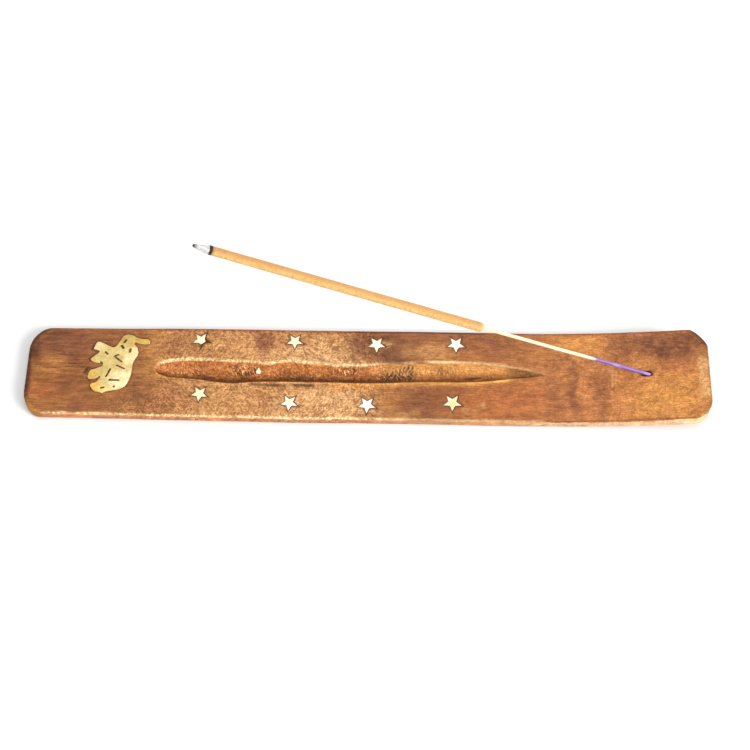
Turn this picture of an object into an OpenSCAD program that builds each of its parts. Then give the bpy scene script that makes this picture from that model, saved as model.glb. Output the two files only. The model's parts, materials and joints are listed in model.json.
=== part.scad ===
// Flat wooden incense holder: a narrow plank with one end curled up, a long
// gouged ash trough, inlaid brass stars and an elephant, and an incense stick
// that leans over the trough from a slanted hole.
// Millimetres. X runs along the plank towards its curled end, Y across it and
// Z up. The origin is the middle of the underside.

/* [Board] */
// Length of the plank
board_l = 255; // [230:5:300]
// Width of the plank
board_w = 37.6; // [34:0.2:46]
// Thickness of the flat stretch
board_t = 4.4; // [4:0.1:8]
// Radius of the corners in plan
corner_r = 6.5; // [2:0.5:12]
// Length of the stretch that curls up
curl_l = 72.5; // [65:0.5:90]
// How far the top face rises at the curled end
top_rise = 6.2; // [3:0.1:12]
// How far the underside rises at the curled end
bottom_rise = 4.7; // [2:0.1:6]

/* [Ash trough] */
// Distance from the plain end to the trough
trough_start = 48; // [46:0.5:60]
// Distance from the trough to the curled end
trough_end = 61; // [56:0.5:80]
// Width across the middle of the trough
trough_w = 8.6; // [6:0.2:10]
// Depth at the middle of the trough
trough_depth = 2.6; // [1.5:0.1:3]
// Sideways shift of the trough from the centre line
trough_shift = 0.6; // [-1:0.1:1]
// Length of the blunt end
trough_blunt = 12; // [6:0.5:20]
// Length of the tapering end
trough_taper = 32; // [20:0.5:45]

/* [Brass inlays] */
// Thickness of the brass sheet
brass_t = 1; // [0.6:0.1:1.2]
// Thickness of the lac under the brass
bed_t = 0.3; // [0.2:0.05:0.5]
// Width of the line of lac round each star
bed_gap = 0.16; // [0.1:0.02:0.3]
// Radius of a star's points
star_r = 3.6; // [3:0.1:4]
// Radius of the notches between a star's points
star_notch_r = 1.65; // [1.3:0.05:2]
// Distance from the trough's blunt end to the first stars
star_lead = 17; // [12:0.5:24]
// Distance from the last stars to the trough's tapered end
star_tail = 33.5; // [28:0.5:40]
// Distance from the plain end to the middle of the elephant
elephant_from_end = 34.5; // [30:0.5:35.5]
// Wood between the elephant's trunk and the far long edge
elephant_margin = 3.2; // [2:0.1:5]
// Length of the elephant from trunk to tail
elephant_l = 25.3; // [20:0.1:26]

/* [Stick hole] */
// Distance from the curled end to the mouth of the hole
hole_from_end = 23; // [16:0.5:34]
// Sideways shift of the hole from the centre line
hole_shift = 0.4; // [-2:0.1:2]
// Angle of the stick above the horizontal
lean = 27.6; // [22:0.2:45]
// Wood left below the bottom of the hole
hole_floor = 1.3; // [0.8:0.1:2]
// Radial clearance of the stick in its hole
hole_clearance = 0.09; // [0.03:0.01:0.1]
// Width of the worn mouth of the hole
mouth_d = 2.5; // [2:0.1:3.5]
// Depth of the worn mouth
mouth_depth = 1.4; // [0.5:0.1:2]
// Gap below the end of the stick
seat_gap = 0.1; // [0.05:0.05:0.5]

/* [Incense stick] */
// Diameter of the bamboo core
core_d = 1.5; // [1.2:0.1:1.8]
// Length of bare bamboo above the board
bare_l = 70.8; // [50:0.2:90]
// Length of the incense coating
coat_l = 104.2; // [60:0.2:125]
// Diameter of the coating at the bamboo end
coat_d = 3.5; // [2.6:0.1:4.5]
// Diameter of the coating at the burning end
coat_tip_d = 3.25; // [2.4:0.05:4.5]
// Length of the rounded shoulder at the bamboo end
shoulder_l = 1.4; // [0.5:0.1:3]
// Length of the charred ring
char_l = 0.9; // [0.4:0.1:2]
// Length of the cone of ash
ash_l = 5.7; // [2:0.1:10]

/* [Hidden] */
star_columns = 4;
star_count = 2 * star_columns;

slack = 0.5;      // how far a cutting shape runs past the face that it cuts
$fn = 64;
curl_fn = 720;    // sides of the long, shallow arcs of the curl

// The curl: each face is an arc that leaves the flat stretch on a tangent
curl_x = board_l / 2 - curl_l;
top_arc_r = (pow(curl_l, 2) + pow(top_rise, 2)) / (2 * top_rise);
bottom_arc_r = (pow(curl_l, 2) + pow(bottom_rise, 2)) / (2 * bottom_rise);
function arc_height(x, r) = x < curl_x ? 0 : r - sqrt(pow(r, 2) - pow(x - curl_x, 2));

// The trough is turned about an axis that floats above the top face
trough_x0 = -board_l / 2 + trough_start;
trough_x1 = board_l / 2 - trough_end;
trough_r = (pow(trough_w / 2, 2) + pow(trough_depth, 2)) / (2 * trough_depth);
trough_axis_h = trough_r - trough_depth;
trough_steps = 12;
function turned_r(half_w) = sqrt(pow(half_w, 2) + pow(trough_axis_h, 2));

// The stars stand in two rows, each in the middle of the wood beside the trough
recess_z = board_t - brass_t - bed_t;
star_pitch = (trough_x1 - trough_x0 - star_lead - star_tail) / (star_columns - 1);
far_row_y = (board_w / 2 + trough_shift + trough_w / 2) / 2;
near_row_y = (-board_w / 2 + trough_shift - trough_w / 2) / 2;
// Each star was set by hand, so it is a little off its place, size and angle
star_nudge = [[-0.3, 1.7], [3.4, 1.7], [2.5, 0.9], [0.6, 1.4],
              [0.6, 2], [2.3, -1.2], [-0.7, -1.6], [-0.9, -0.2]];
star_scale = [0.97, 0.95, 1, 1.03, 0.97, 1, 1.03, 1.05];
star_turn = [3, 0, 0, 0, -5, -5, -2, 0];
// The first star has lost two of its points
broken_star = 1;
lost_points = [0, 1];

// The elephant walks towards the far edge with its feet to the plain end.
// It is drawn upright in its own frame, facing left.
elephant_drawn_l = 25.3;
elephant_scale = elephant_l / elephant_drawn_l;
trunk_reach = 12.6;
elephant_x = -board_l / 2 + elephant_from_end;
elephant_y = board_w / 2 - elephant_margin - trunk_reach * elephant_scale;
curve_steps = 3;
elephant_knots = [
    // trunk, lifted over the head
    [-9.5, 11.2], [-10.6, 10.3], [-10.7, 8.3], [-11.2, 6.2], [-12.2, 4.4], [-12.6, 2.8],
    [-12.3, 1.5], [-11.6, 0.5], [-10.4, -0.1], [-9, -0.8], [-7.7, -1.5],
    // front leg that steps forward
    [-7, -2.4], [-7.1, -3.3], [-7.7, -4.6], [-8.6, -6.3], [-9.2, -7.8], [-9.2, -8.7],
    [-8.7, -9.2], [-6.6, -9.9], [-5.9, -10], [-5.7, -9.2], [-5.3, -8],
    // front leg that stands
    [-4.9, -7.7], [-4.1, -8.4], [-2.8, -9.9], [-2, -10.6], [-1.3, -10.7], [-0.5, -9.8],
    [0, -8.3], [-0.1, -7.4], [-0.7, -6.9], [-0.4, -6.3], [0.7, -6.1],
    // hind leg that steps forward
    [1.5, -6.7], [1.8, -7.7], [2.4, -8.9], [2.7, -10.1], [3.6, -10.8], [5.4, -11.2],
    [6.5, -11], [6.9, -10.3], [6.7, -8.4], [6.1, -7.5], [5.5, -6.6],
    // hind leg that stands
    [6, -6.5], [6.9, -7.1], [8, -8.1], [8.4, -9.1], [8.9, -9.9], [9.7, -9.9],
    [11.1, -9], [12, -7.9], [12.3, -6.4], [12.7, -5.1], [12.3, -4.4],
    // rump and back
    [11.8, -3], [11.5, -1.3], [11.1, 0.5], [10.3, 2.1], [9.1, 3.4], [7.5, 4.2],
    [5.5, 4.9], [3.2, 5.2], [0.9, 5.3], [-0.6, 5.5], [-2, 6],
    // crown, brow and the root of the trunk
    [-3.6, 6.8], [-4.8, 7.1], [-5.9, 6.8], [-6.9, 6.6], [-7.8, 5.9], [-8.4, 5.2],
    [-9, 5.3], [-9, 6], [-8.5, 6.8], [-8.2, 8.3], [-8.2, 9.9], [-8.6, 10.8]
];
// Sawn slots as [one end, other end, width]: trunk, mouth, eye, leg, ear, body, tail
elephant_slots = [
    [[-10.1, 1.9], [-9.1, 1.3], 0.6], [[-7.6, 0.5], [-6.6, 1.2], 0.7],
    [[-6.2, 3.8], [-5.1, 3.8], 0.8], [[-4.8, -5.5], [-4, -4.5], 0.5],
    [[-3.7, -0.4], [-3.1, -2], 0.5], [[-3, -1.8], [-0.7, 1], 0.5],
    [[0.8, -0.7], [2.2, 2.2], 0.5], [[2.5, -3], [5.5, -4.3], 0.55],
    [[7, -2.9], [7.1, 0.6], 0.6], [[10.5, -5.8], [10.2, -4.7], 0.6],
    [[9.7, -1], [9.8, -0.9], 0.7]
];

// The stick: distances are along its own axis, from the mouth of the hole
hole_x = board_l / 2 - hole_from_end;
hole_z = board_t + arc_height(hole_x, top_arc_r);
bore_r = core_d / 2 + hole_clearance;
floor_slope = (hole_x - curl_x) / bottom_arc_r;
hole_depth = (hole_z - arc_height(hole_x, bottom_arc_r) - hole_floor - bore_r * cos(lean))
             / (sin(lean) + floor_slope * cos(lean));
coat_end = bare_l + coat_l;
char_end = coat_end + char_l;

wood = "#b87a4b";
brass = "#e3c27c";
lac = "#3a2417";
bamboo = "#d9b98a";
incense = "#d6a05c";
char_black = "#2c2622";
ash_grey = "#c9c5bd";

// ---- Shapes shared by more than one part ----

// A star with one point towards -Y, and without the points listed in lost
function star_outline(r, notch_r, lost = []) = [
    for (k = [0:9])
        if (k % 2 == 1 || len(search(k / 2, lost)) == 0)
            (k % 2 == 0 ? r : notch_r) * [cos(36 * k - 90), sin(36 * k - 90)]
];

// Every side of a star is as far from its middle, so growing it is scaling it
function star_growth(r, notch_r, gap) =
    1 + gap * norm([r - notch_r * cos(36), notch_r * sin(36)]) / (r * notch_r * sin(36));

function lost_of(i) = i == broken_star ? lost_points : [];
function star_size(i) = star_scale[i - 1];

// A smooth closed curve through knots: a Catmull-Rom spline
function spline_point(a, b, c, d, t) =
    (2 * b + (c - a) * t + (2 * a - 5 * b + 4 * c - d) * pow(t, 2)
     + (3 * b - a - 3 * c + d) * pow(t, 3)) / 2;
function smooth_loop(p, steps) = [
    for (i = [0:len(p) - 1], s = [0:steps - 1])
        spline_point(p[(i + len(p) - 1) % len(p)], p[i], p[(i + 1) % len(p)],
                     p[(i + 2) % len(p)], s / steps)
];

function arc_points(centre, r, first, last) =
    [for (a = [first:30:last]) centre + r * [cos(a), sin(a)]];
// A slot with round ends
function slot_outline(from, to, width) =
    let (turn = atan2(to[1] - from[1], to[0] - from[0]))
    concat(arc_points(from, width / 2, turn + 90, turn + 270),
           arc_points(to, width / 2, turn - 90, turn + 90));

module place_star(i) {
    column = (i - 1) % star_columns;
    row_y = i <= star_columns ? far_row_y : near_row_y;
    nudge = star_nudge[i - 1];
    translate([trough_x0 + star_lead + column * star_pitch + nudge[0], row_y + nudge[1], 0])
        rotate(star_turn[i - 1])
            children();
}

module star_recess_2d(i) {
    r = star_r * star_size(i);
    notch_r = star_notch_r * star_size(i);
    growth = star_growth(r, notch_r, bed_gap);
    polygon(star_outline(r * growth, notch_r * growth));
}

module place_elephant() {
    translate([elephant_x, elephant_y, 0])
        rotate(-90)
            scale(elephant_scale)
                children();
}

module elephant_2d() {
    polygon(smooth_loop(elephant_knots, curve_steps));
}

module elephant_slots_2d() {
    for (slot = elephant_slots)
        polygon(slot_outline(slot[0], slot[1], slot[2]));
}

module along_stick(s) {
    translate([hole_x, hole_shift, hole_z])
        rotate([0, lean - 90, 0])
            translate([0, 0, s])
                children();
}

// ---- Cuts in the board ----

module trough_cut() {
    half_w = trough_w / 2;
    blunt = [for (i = [0:trough_steps]) let (a = 90 * i / trough_steps)
        [turned_r(half_w * sin(a)), trough_x0 + trough_blunt * (1 - cos(a))]];
    taper = [for (i = [0:trough_steps]) let (t = i / trough_steps)
        [turned_r(half_w * cos(90 * t)), trough_x1 - trough_taper * (1 - t)]];
    translate([0, trough_shift, board_t + trough_axis_h])
        rotate([0, 90, 0])
            rotate_extrude()
                polygon(concat([[0, trough_x0]], blunt, taper, [[0, trough_x1]]));
}

module stick_hole() {
    along_stick(-hole_depth)
        cylinder(r = bore_r, h = hole_depth + 2 * mouth_d);
    along_stick(-mouth_depth)
        cylinder(r1 = bore_r, d2 = mouth_d, h = mouth_depth + mouth_d);
}

// ---- Parts ----

module board() {
    color(wood)
        difference() {
            intersection() {
                board_side();
                board_plan();
            }
            trough_cut();
            stick_hole();
            translate([0, 0, recess_z])
                linear_extrude(board_t)
                    place_elephant()
                        elephant_2d();
            translate([0, 0, recess_z])
                for (i = [1:star_count])
                    linear_extrude(board_t)
                        place_star(i)
                            star_recess_2d(i);
        }
}

module board_side() {
    translate([0, board_w / 2 + slack, 0])
        rotate([90, 0, 0])
            linear_extrude(board_w + 2 * slack) {
                translate([-board_l / 2, 0])
                    square([curl_x + board_l / 2, board_t]);
                difference() {
                    intersection() {
                        translate([curl_x, 0])
                            square([curl_l, board_t + top_rise]);
                        translate([curl_x, bottom_arc_r])
                            circle(bottom_arc_r, $fn = curl_fn);
                    }
                    translate([curl_x, board_t + top_arc_r])
                        circle(top_arc_r, $fn = curl_fn);
                }
            }
}

module board_plan() {
    along = board_l / 2 - corner_r;
    across = board_w / 2 - corner_r;
    linear_extrude(board_t + top_rise + slack) {
        square([board_l, 2 * across], center = true);
        square([2 * along, board_w], center = true);
        for (x = [-along, along], y = [-across, across])
            translate([x, y])
                circle(corner_r);
    }
}

module elephant_inlay() {
    color(brass)
        translate([0, 0, board_t - brass_t])
            linear_extrude(brass_t)
                place_elephant()
                    difference() {
                        elephant_2d();
                        elephant_slots_2d();
                    }
}

// Lac under the elephant, with ribs that fill its slots
module elephant_bedding() {
    color(lac)
        translate([0, 0, recess_z]) {
            linear_extrude(bed_t)
                place_elephant()
                    elephant_2d();
            linear_extrude(bed_t + brass_t)
                place_elephant()
                    elephant_slots_2d();
        }
}

module star_inlay(i) {
    color(brass)
        translate([0, 0, board_t - brass_t])
            linear_extrude(brass_t)
                place_star(i)
                    polygon(star_outline(star_r * star_size(i), star_notch_r * star_size(i), lost_of(i)));
}

// Lac under and round a star; a lost point leaves its socket in the lac
module star_bedding(i) {
    color(lac)
        difference() {
            translate([0, 0, recess_z])
                linear_extrude(bed_t + brass_t)
                    place_star(i)
                        star_recess_2d(i);
            translate([0, 0, board_t - brass_t])
                linear_extrude(brass_t + slack)
                    place_star(i)
                        polygon(star_outline(star_r * star_size(i), star_notch_r * star_size(i)));
        }
}

module bamboo_core() {
    color(bamboo)
        along_stick(seat_gap - hole_depth)
            cylinder(d = core_d, h = hole_depth - seat_gap + char_end);
}

module incense_coating() {
    rise = coat_d / 2 - core_d / 2;
    shoulder = [for (a = [0:15:90]) [core_d / 2 + rise * sin(a), shoulder_l * (1 - cos(a))]];
    color(incense)
        along_stick(bare_l)
            rotate_extrude()
                polygon(concat(shoulder, [[coat_tip_d / 2, coat_l], [core_d / 2, coat_l]]));
}

module char_ring() {
    color(char_black)
        along_stick(coat_end)
            difference() {
                cylinder(d = coat_tip_d, h = char_l);
                translate([0, 0, -slack])
                    cylinder(d = core_d, h = char_l + 2 * slack);
            }
}

// A cone of ash with a slight belly
module ash_tip() {
    side = [for (t = [0:0.1:1]) [coat_tip_d / 2 * pow(1 - t, 0.75), ash_l * t]];
    color(ash_grey)
        along_stick(char_end)
            rotate_extrude()
                polygon(concat([[0, 0]], side));
}

board();
elephant_inlay();
elephant_bedding();
for (i = [1:star_count]) {
    star_inlay(i);
    star_bedding(i);
}
bamboo_core();
incense_coating();
char_ring();
ash_tip();
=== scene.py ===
import json
import math

import bpy
import numpy as np
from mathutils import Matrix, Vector
from mathutils.geometry import delaunay_2d_cdt


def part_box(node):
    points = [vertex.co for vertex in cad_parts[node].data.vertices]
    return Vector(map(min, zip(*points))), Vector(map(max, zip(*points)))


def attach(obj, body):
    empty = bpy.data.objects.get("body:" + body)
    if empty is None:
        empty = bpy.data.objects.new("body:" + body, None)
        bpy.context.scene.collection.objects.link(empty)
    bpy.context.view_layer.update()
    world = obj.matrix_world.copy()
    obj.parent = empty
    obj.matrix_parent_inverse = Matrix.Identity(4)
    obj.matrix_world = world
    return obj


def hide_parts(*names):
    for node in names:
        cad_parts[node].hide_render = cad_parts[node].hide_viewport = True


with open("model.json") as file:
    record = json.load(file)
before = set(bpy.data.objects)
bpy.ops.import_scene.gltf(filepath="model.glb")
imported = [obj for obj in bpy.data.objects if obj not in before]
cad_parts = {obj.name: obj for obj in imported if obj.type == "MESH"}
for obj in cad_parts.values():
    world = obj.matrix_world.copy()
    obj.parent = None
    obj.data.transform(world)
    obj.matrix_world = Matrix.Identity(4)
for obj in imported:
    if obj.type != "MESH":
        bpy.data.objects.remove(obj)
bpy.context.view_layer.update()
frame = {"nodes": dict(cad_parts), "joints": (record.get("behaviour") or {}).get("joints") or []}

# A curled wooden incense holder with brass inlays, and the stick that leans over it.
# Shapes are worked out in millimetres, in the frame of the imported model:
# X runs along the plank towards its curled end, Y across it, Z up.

mm = 0.001
scene = bpy.context.scene


def boxOf(node):
    low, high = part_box(node)
    return np.array(low) / mm, np.array(high) / mm


def smoothStep(t):
    t = np.clip(t, 0, 1)
    return t * t * (3 - 2 * t)


def unit(vectors):
    return vectors / np.maximum(np.linalg.norm(vectors, axis=1), 1e-9)[:, None]


def bell(distance, reach):
    # 1 at no distance, falling to nearly nothing at twice the reach: exp(-(distance / reach)^2)
    return np.exp(-(distance / reach) ** 2)


def blob(across, along, power):
    # 1 in the middle of an oval and 0 well outside it; both distances are shares of its reach
    return np.exp(-(np.abs(across) ** power + np.abs(along) ** power))


def through(knots, x):
    # smooth curve through knots (x, y): each stretch is a cubic that meets the next on the knots' mean slope
    kx, ky = np.array(knots, float).T
    slope = np.gradient(ky, kx)
    i = np.clip(np.searchsorted(kx, x) - 1, 0, len(kx) - 2)
    step = kx[i + 1] - kx[i]
    t = np.clip((x - kx[i]) / step, 0, 1)
    rise = 3 * t ** 2 - 2 * t ** 3
    return (ky[i] * (1 - rise) + ky[i + 1] * rise
            + step * (slope[i] * (t ** 3 - 2 * t ** 2 + t) + slope[i + 1] * (t ** 3 - t ** 2)))


def lattice(x, y, cell, seed):
    # value noise from -1 to 1: random heights on a square lattice, joined by smooth steps
    heights = np.random.default_rng(seed).random((128, 128)) * 2 - 1
    u, v = np.asarray(x) / cell, np.asarray(y) / cell
    i, j = np.floor(u).astype(int), np.floor(v).astype(int)
    s, t = smoothStep(u - i), smoothStep(v - j)
    near = heights[i % 128, j % 128] * (1 - s) + heights[(i + 1) % 128, j % 128] * s
    far = heights[i % 128, (j + 1) % 128] * (1 - s) + heights[(i + 1) % 128, (j + 1) % 128] * s
    return near * (1 - t) + far * t


def closedCurve(knots, steps):
    # Catmull-Rom spline through a closed ring of knots
    p = np.array(knots, float)
    t = (np.arange(steps) / steps)[None, :, None]
    a, b, c, d = (np.roll(p, shift, axis=0)[:, None, :] for shift in (1, 0, -1, -2))
    curve = (2 * b + (c - a) * t + (2 * a - 5 * b + 4 * c - d) * t ** 2
             + (3 * b - a - 3 * c + d) * t ** 3) / 2
    return curve.reshape(-1, 2)


def evenSteps(ring, spacing):
    # the same closed ring of straight sides, with points at most a spacing apart
    after = np.roll(ring, -1, axis=0)
    counts = np.maximum(1, np.ceil(np.linalg.norm(after - ring, axis=1) / spacing)).astype(int)
    start = np.repeat(ring, counts, axis=0)
    run = np.repeat(after - ring, counts, axis=0)
    order = np.arange(counts.sum()) - np.repeat(np.cumsum(counts) - counts, counts)
    return start + run * (order / np.repeat(counts, counts))[:, None]


def distanceTo(rings, points):
    # shortest distance from each point to the sides of the rings
    a = np.concatenate(rings)
    run = np.concatenate([np.roll(r, -1, axis=0) for r in rings]) - a
    offset = points[:, None, :] - a[None]
    share = np.clip((offset * run).sum(2) / np.maximum((run ** 2).sum(1), 1e-12), 0, 1)
    return np.sqrt(((offset - share[..., None] * run) ** 2).sum(2)).min(1)


def inside(rings, points):
    # even-odd rule: a point is inside if a line to its right crosses the rings an odd number of times
    a = np.concatenate(rings)
    b = np.concatenate([np.roll(r, -1, axis=0) for r in rings])
    x, y = points[:, None, 0], points[:, None, 1]
    spans = (a[None, :, 1] > y) != (b[None, :, 1] > y)
    rise = np.where(b[:, 1] == a[:, 1], 1e-9, b[:, 1] - a[:, 1])
    crossing = a[None, :, 0] + (y - a[None, :, 1]) * (b - a)[None, :, 0] / rise
    return ((spans & (crossing > x)).sum(1) % 2).astype(bool)


def putMesh(name, points, faces, smooth=True):
    # points in millimetres; faces as lists of corners
    mesh = bpy.data.meshes.new(name)
    mesh.from_pydata((np.asarray(points) * mm).tolist(), [], faces)
    mesh.update()
    mesh.shade_smooth() if smooth else mesh.shade_flat()
    piece = bpy.data.objects.new(name, mesh)
    scene.collection.objects.link(piece)
    return piece


def putAttribute(piece, name, values):
    # one number or one linear colour for each vertex
    values = np.asarray(values, float)
    if values.ndim == 1:
        piece.data.attributes.new(name, "FLOAT", "POINT").data.foreach_set("value", values.astype(np.float32))
    else:
        values = np.column_stack([values, np.ones(len(values))]).astype(np.float32)
        piece.data.attributes.new(name, "FLOAT_COLOR", "POINT").data.foreach_set("color", values.ravel())


def pointsOf(piece):
    # every vertex of a piece, in millimetres
    points = np.empty(3 * len(piece.data.vertices), np.float32)
    piece.data.vertices.foreach_get("co", points)
    return points.reshape(-1, 3).astype(float) / mm


def tubeFaces(rows, sides, joined=False, start=0):
    # Quads between neighbouring rings of points. A joined tube runs from its last ring back to its first; any
    # other gets a flat face at each end. The corner that a quad starts from settles how it is split in two.
    i, j = np.meshgrid(np.arange(rows if joined else rows - 1), np.arange(sides), indexing="ij")
    down, after = (i + 1) % rows, (j + 1) % sides
    corners = [i * sides + j, down * sides + j, down * sides + after, i * sides + after]
    faces = np.stack(corners[start:] + corners[:start], -1).reshape(-1, 4).tolist()
    if not joined:
        faces.append(list(range(sides)))
        faces.append(list(range((rows - 1) * sides, rows * sides))[::-1])
    return faces


def sheetSolid(rings, bottom, topAt, rounding=0.0, spacing=0.45):
    # A flat solid bounded by an outer ring and pierced by the others. Its top is the height topAt(x, y),
    # less a quarter-round drop near the rim: r - sqrt(r^2 - (r - d)^2) at a distance d from it.
    rings = [evenSteps(np.asarray(r, float), spacing) for r in rings]
    low, high = rings[0].min(0), rings[0].max(0)
    gx, gy = np.meshgrid(np.arange(low[0], high[0], spacing), np.arange(low[1], high[1], spacing * 0.87))
    gx[1::2] += spacing / 2
    seeds = [np.stack([gx.ravel(), gy.ravel()], 1)]
    for ring in rings:
        side = np.roll(ring, -1, axis=0) - np.roll(ring, 1, axis=0)
        normal = unit(np.stack([-side[:, 1], side[:, 0]], 1))
        if rounding:
            seeds += [ring + turn * step * rounding * normal for turn in (-1, 1) for step in (0.3, 0.7, 1.1)]
    seeds = np.concatenate(seeds)
    gap = distanceTo(rings, seeds)
    seeds = seeds[inside(rings, seeds) & (gap > (0.2 * rounding if rounding else 0.3 * spacing))]
    flat = np.concatenate(rings + [seeds])
    edges, start = [], 0
    for ring in rings:
        at = np.arange(len(ring)) + start
        edges += np.stack([at, np.roll(at, -1)], 1).tolist()
        start += len(ring)
    plane, _, triangles, *_ = delaunay_2d_cdt([Vector(p) for p in flat.tolist()], edges, [], 0, 1e-5)
    plane, triangles = np.array([tuple(p) for p in plane]), np.array(triangles)
    triangles = triangles[inside(rings, plane[triangles].mean(1))]
    used, triangles = np.unique(triangles, return_inverse=True)
    plane, triangles = plane[used], triangles.reshape(-1, 3)
    drop = 0
    if rounding:
        reach = np.clip(1 - distanceTo(rings, plane) / rounding, 0, 1)
        drop = rounding * (1 - np.sqrt(1 - reach ** 2))
    top = np.column_stack([plane, topAt(plane[:, 0], plane[:, 1]) - drop])
    base = np.column_stack([plane, np.full(len(plane), bottom)])
    sides = np.concatenate([triangles[:, [0, 1]], triangles[:, [1, 2]], triangles[:, [2, 0]]])
    key = np.sort(sides, axis=1)
    _, first, count = np.unique(key, axis=0, return_index=True, return_counts=True)
    rim = sides[first[count == 1]]
    n = len(plane)
    walls = np.stack([rim[:, 1], rim[:, 0], rim[:, 0] + n, rim[:, 1] + n], 1)
    return (np.concatenate([top, base]),
            triangles.tolist() + (triangles[:, ::-1] + n).tolist() + walls.tolist())


def joinSolids(solids):
    # several (points, faces) pairs as one
    points, faces, start = [], [], 0
    for p, f in solids:
        points.append(p)
        faces += [[corner + start for corner in face] for face in f]
        start += len(p)
    return np.concatenate(points), faces


boardLow, boardHigh = boxOf("board")
plank = {
    "length": boardHigh[0] - boardLow[0],
    "width": boardHigh[1] - boardLow[1],
    "thickness": 4.4,
    "curlLength": 72.5,
    "topRise": 6.2,
    "bottomRise": 4.7,
    "planed": 0.03,                 # the land lies this far under the full thickness
    "plainEndNarrowing": 0.55,      # the plain end is this much narrower on each side
    "edgeWaver": 0.12,              # the long edges waver by this much either way, inside the full width
    "cornerAlong": [[6.6, 8.2], [6.2, 6.4]],     # corner sizes: plain end, curled end; near edge, far edge
    "cornerAcross": [[9.6, 9.2], [7.6, 7.4]],
    "cornerPower": [[1.85, 1.95], [1.8, 1.35]],
    "edgeRound": 0.75,
    "endRound": 1.5,
    "footRound": 0.6,
}
trough = {
    "nearEdge": [(-79.3, 0.9), (-78.6, -0.4), (-76, -1.8), (-70, -2.8), (-65, -3.1), (-60, -3.7), (-55, -4.4),
                 (-50, -4.7), (-44, -4.2), (-38, -3.9), (-25, -3.7), (-10, -3.8), (3, -3.9), (14, -3.3),
                 (25, -2.95), (36, -2.9), (44, -2.4), (50, -1.7), (57, -0.9), (62, -0.4), (66.5, 0.4)],
    "farEdge": [(-79.3, 1.3), (-78.6, 2.4), (-76, 3.6), (-71, 4.6), (-65, 5.0), (-55, 4.7), (-45, 4.3),
                (-40, 4.1), (-36.5, 3.6), (-33, 4.5), (-30, 4.9), (-24, 4.5), (-17, 3.9), (-12, 3.4),
                (-4, 3.4), (5, 3.9), (15, 4.6), (25, 5.1), (35, 5.2), (44, 4.8), (52, 3.9), (58, 2.9),
                (63, 1.7), (66.5, 0.8)],
    "depth": 2.6,
    "fullWidth": 8.2,        # where the trough is this wide, it is this deep
    "facets": (0.10, 0.05),  # height of the broad and the small facets that the gouge left
    "toolMark": 0.22,        # depth of the cuts across the floor
    "hollow": 0.3,           # depth of the dent in the near wall
    "split": 0.2,            # depth of the splinter's grooves
    "arrisWear": 0.07,       # how far its rims are rubbed down
}
curlStart = plank["length"] / 2 - plank["curlLength"]


def arcRise(x, rise):
    # height of an arc that leaves the flat stretch on a tangent: R - sqrt(R^2 - run^2)
    radius = (plank["curlLength"] ** 2 + rise ** 2) / (2 * rise)
    run = np.clip(x - curlStart, 0, plank["curlLength"])
    return radius - np.sqrt(radius ** 2 - run ** 2)


def halfWidth(x, side):
    # the plank's half width before its corners; side is 0 for the near edge and 1 for the far one
    narrowing = plank["plainEndNarrowing"] * smoothStep((-45 - x) / 80)
    return plank["width"] / 2 - narrowing - plank["edgeWaver"] * (1 + lattice(x, x * 0 + 40 * side, 23, 5))


def edgeOf(x, side):
    # Distance of a long edge from the middle line. At each end a rounded corner takes it in by
    # across * (1 - (1 - (1 - q)^p)^(1/p)), q being the share of the corner that is behind x.
    half = halfWidth(x, side)
    for end in (0, 1):
        fromEnd = plank["length"] / 2 + (x if end == 0 else -x)
        q = np.clip(fromEnd / plank["cornerAlong"][end][side], 0, 1)
        p = plank["cornerPower"][end][side]
        half = half - plank["cornerAcross"][end][side] * (1 - (1 - (1 - q) ** p) ** (1 / p))
    return half


def insetOf(x, y):
    # distance in from the outline, taken from the corner's own curve where there is one
    far, curled = (y > 0).astype(int), (x >= 0).astype(int)
    pick = lambda name: np.array(plank[name])[curled, far]
    fromEnd, fromEdge = plank["length"] / 2 - np.abs(x), halfWidth(x, far) - np.abs(y)
    along, across, power = pick("cornerAlong"), pick("cornerAcross"), pick("cornerPower")
    a = np.clip(1 - fromEnd / along, 0, 1)
    b = np.clip(1 - fromEdge / across, 0, 1)
    f = np.maximum((a ** power + b ** power) ** (1 / power), 1e-9)
    steep = f ** (1 - power) * np.hypot(a ** (power - 1) / along, b ** (power - 1) / across)
    corner = (1 - f) / np.maximum(steep, 1e-9)
    return np.clip(np.where((a > 0) & (b > 0), corner, np.minimum(fromEnd, fromEdge)), 0, None)


def quarterDrop(inset, radius):
    # how far a quarter round of that radius lies below its crown at that distance in from the edge
    reach = np.clip(1 - inset / radius, 0, 1)
    return radius * (1 - np.sqrt(1 - reach ** 2))


def toolMarks(x, y):
    # short leaning cuts across the trough, 0 to 1: sin^3 of a slanted phase, kept to a slanting band
    phase = (x - 0.45 * y + 0.75 * lattice(x, y, 1.7, 14)) / 1.35
    cuts = np.clip(np.sin(2 * np.pi * phase) + 0.7 * lattice(x, y, 1.0, 15), 0, 1)
    band = 1 - smoothStep((np.abs(y - 0.7 - 0.33 * (x - 11)) - 1.5) / 1.0)
    return cuts * band * smoothStep((x - 4.5) / 2.5) * smoothStep((19 - x) / 2.5)


def hollowAt(x, y):
    # a small lens-shaped dent low on the near wall, 0 to 1
    return np.clip(1 - ((x - 40) / 3.8) ** 2 - ((y - 0.05 - 0.05 * (x - 40)) / 0.75) ** 2, 0, 1)


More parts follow.
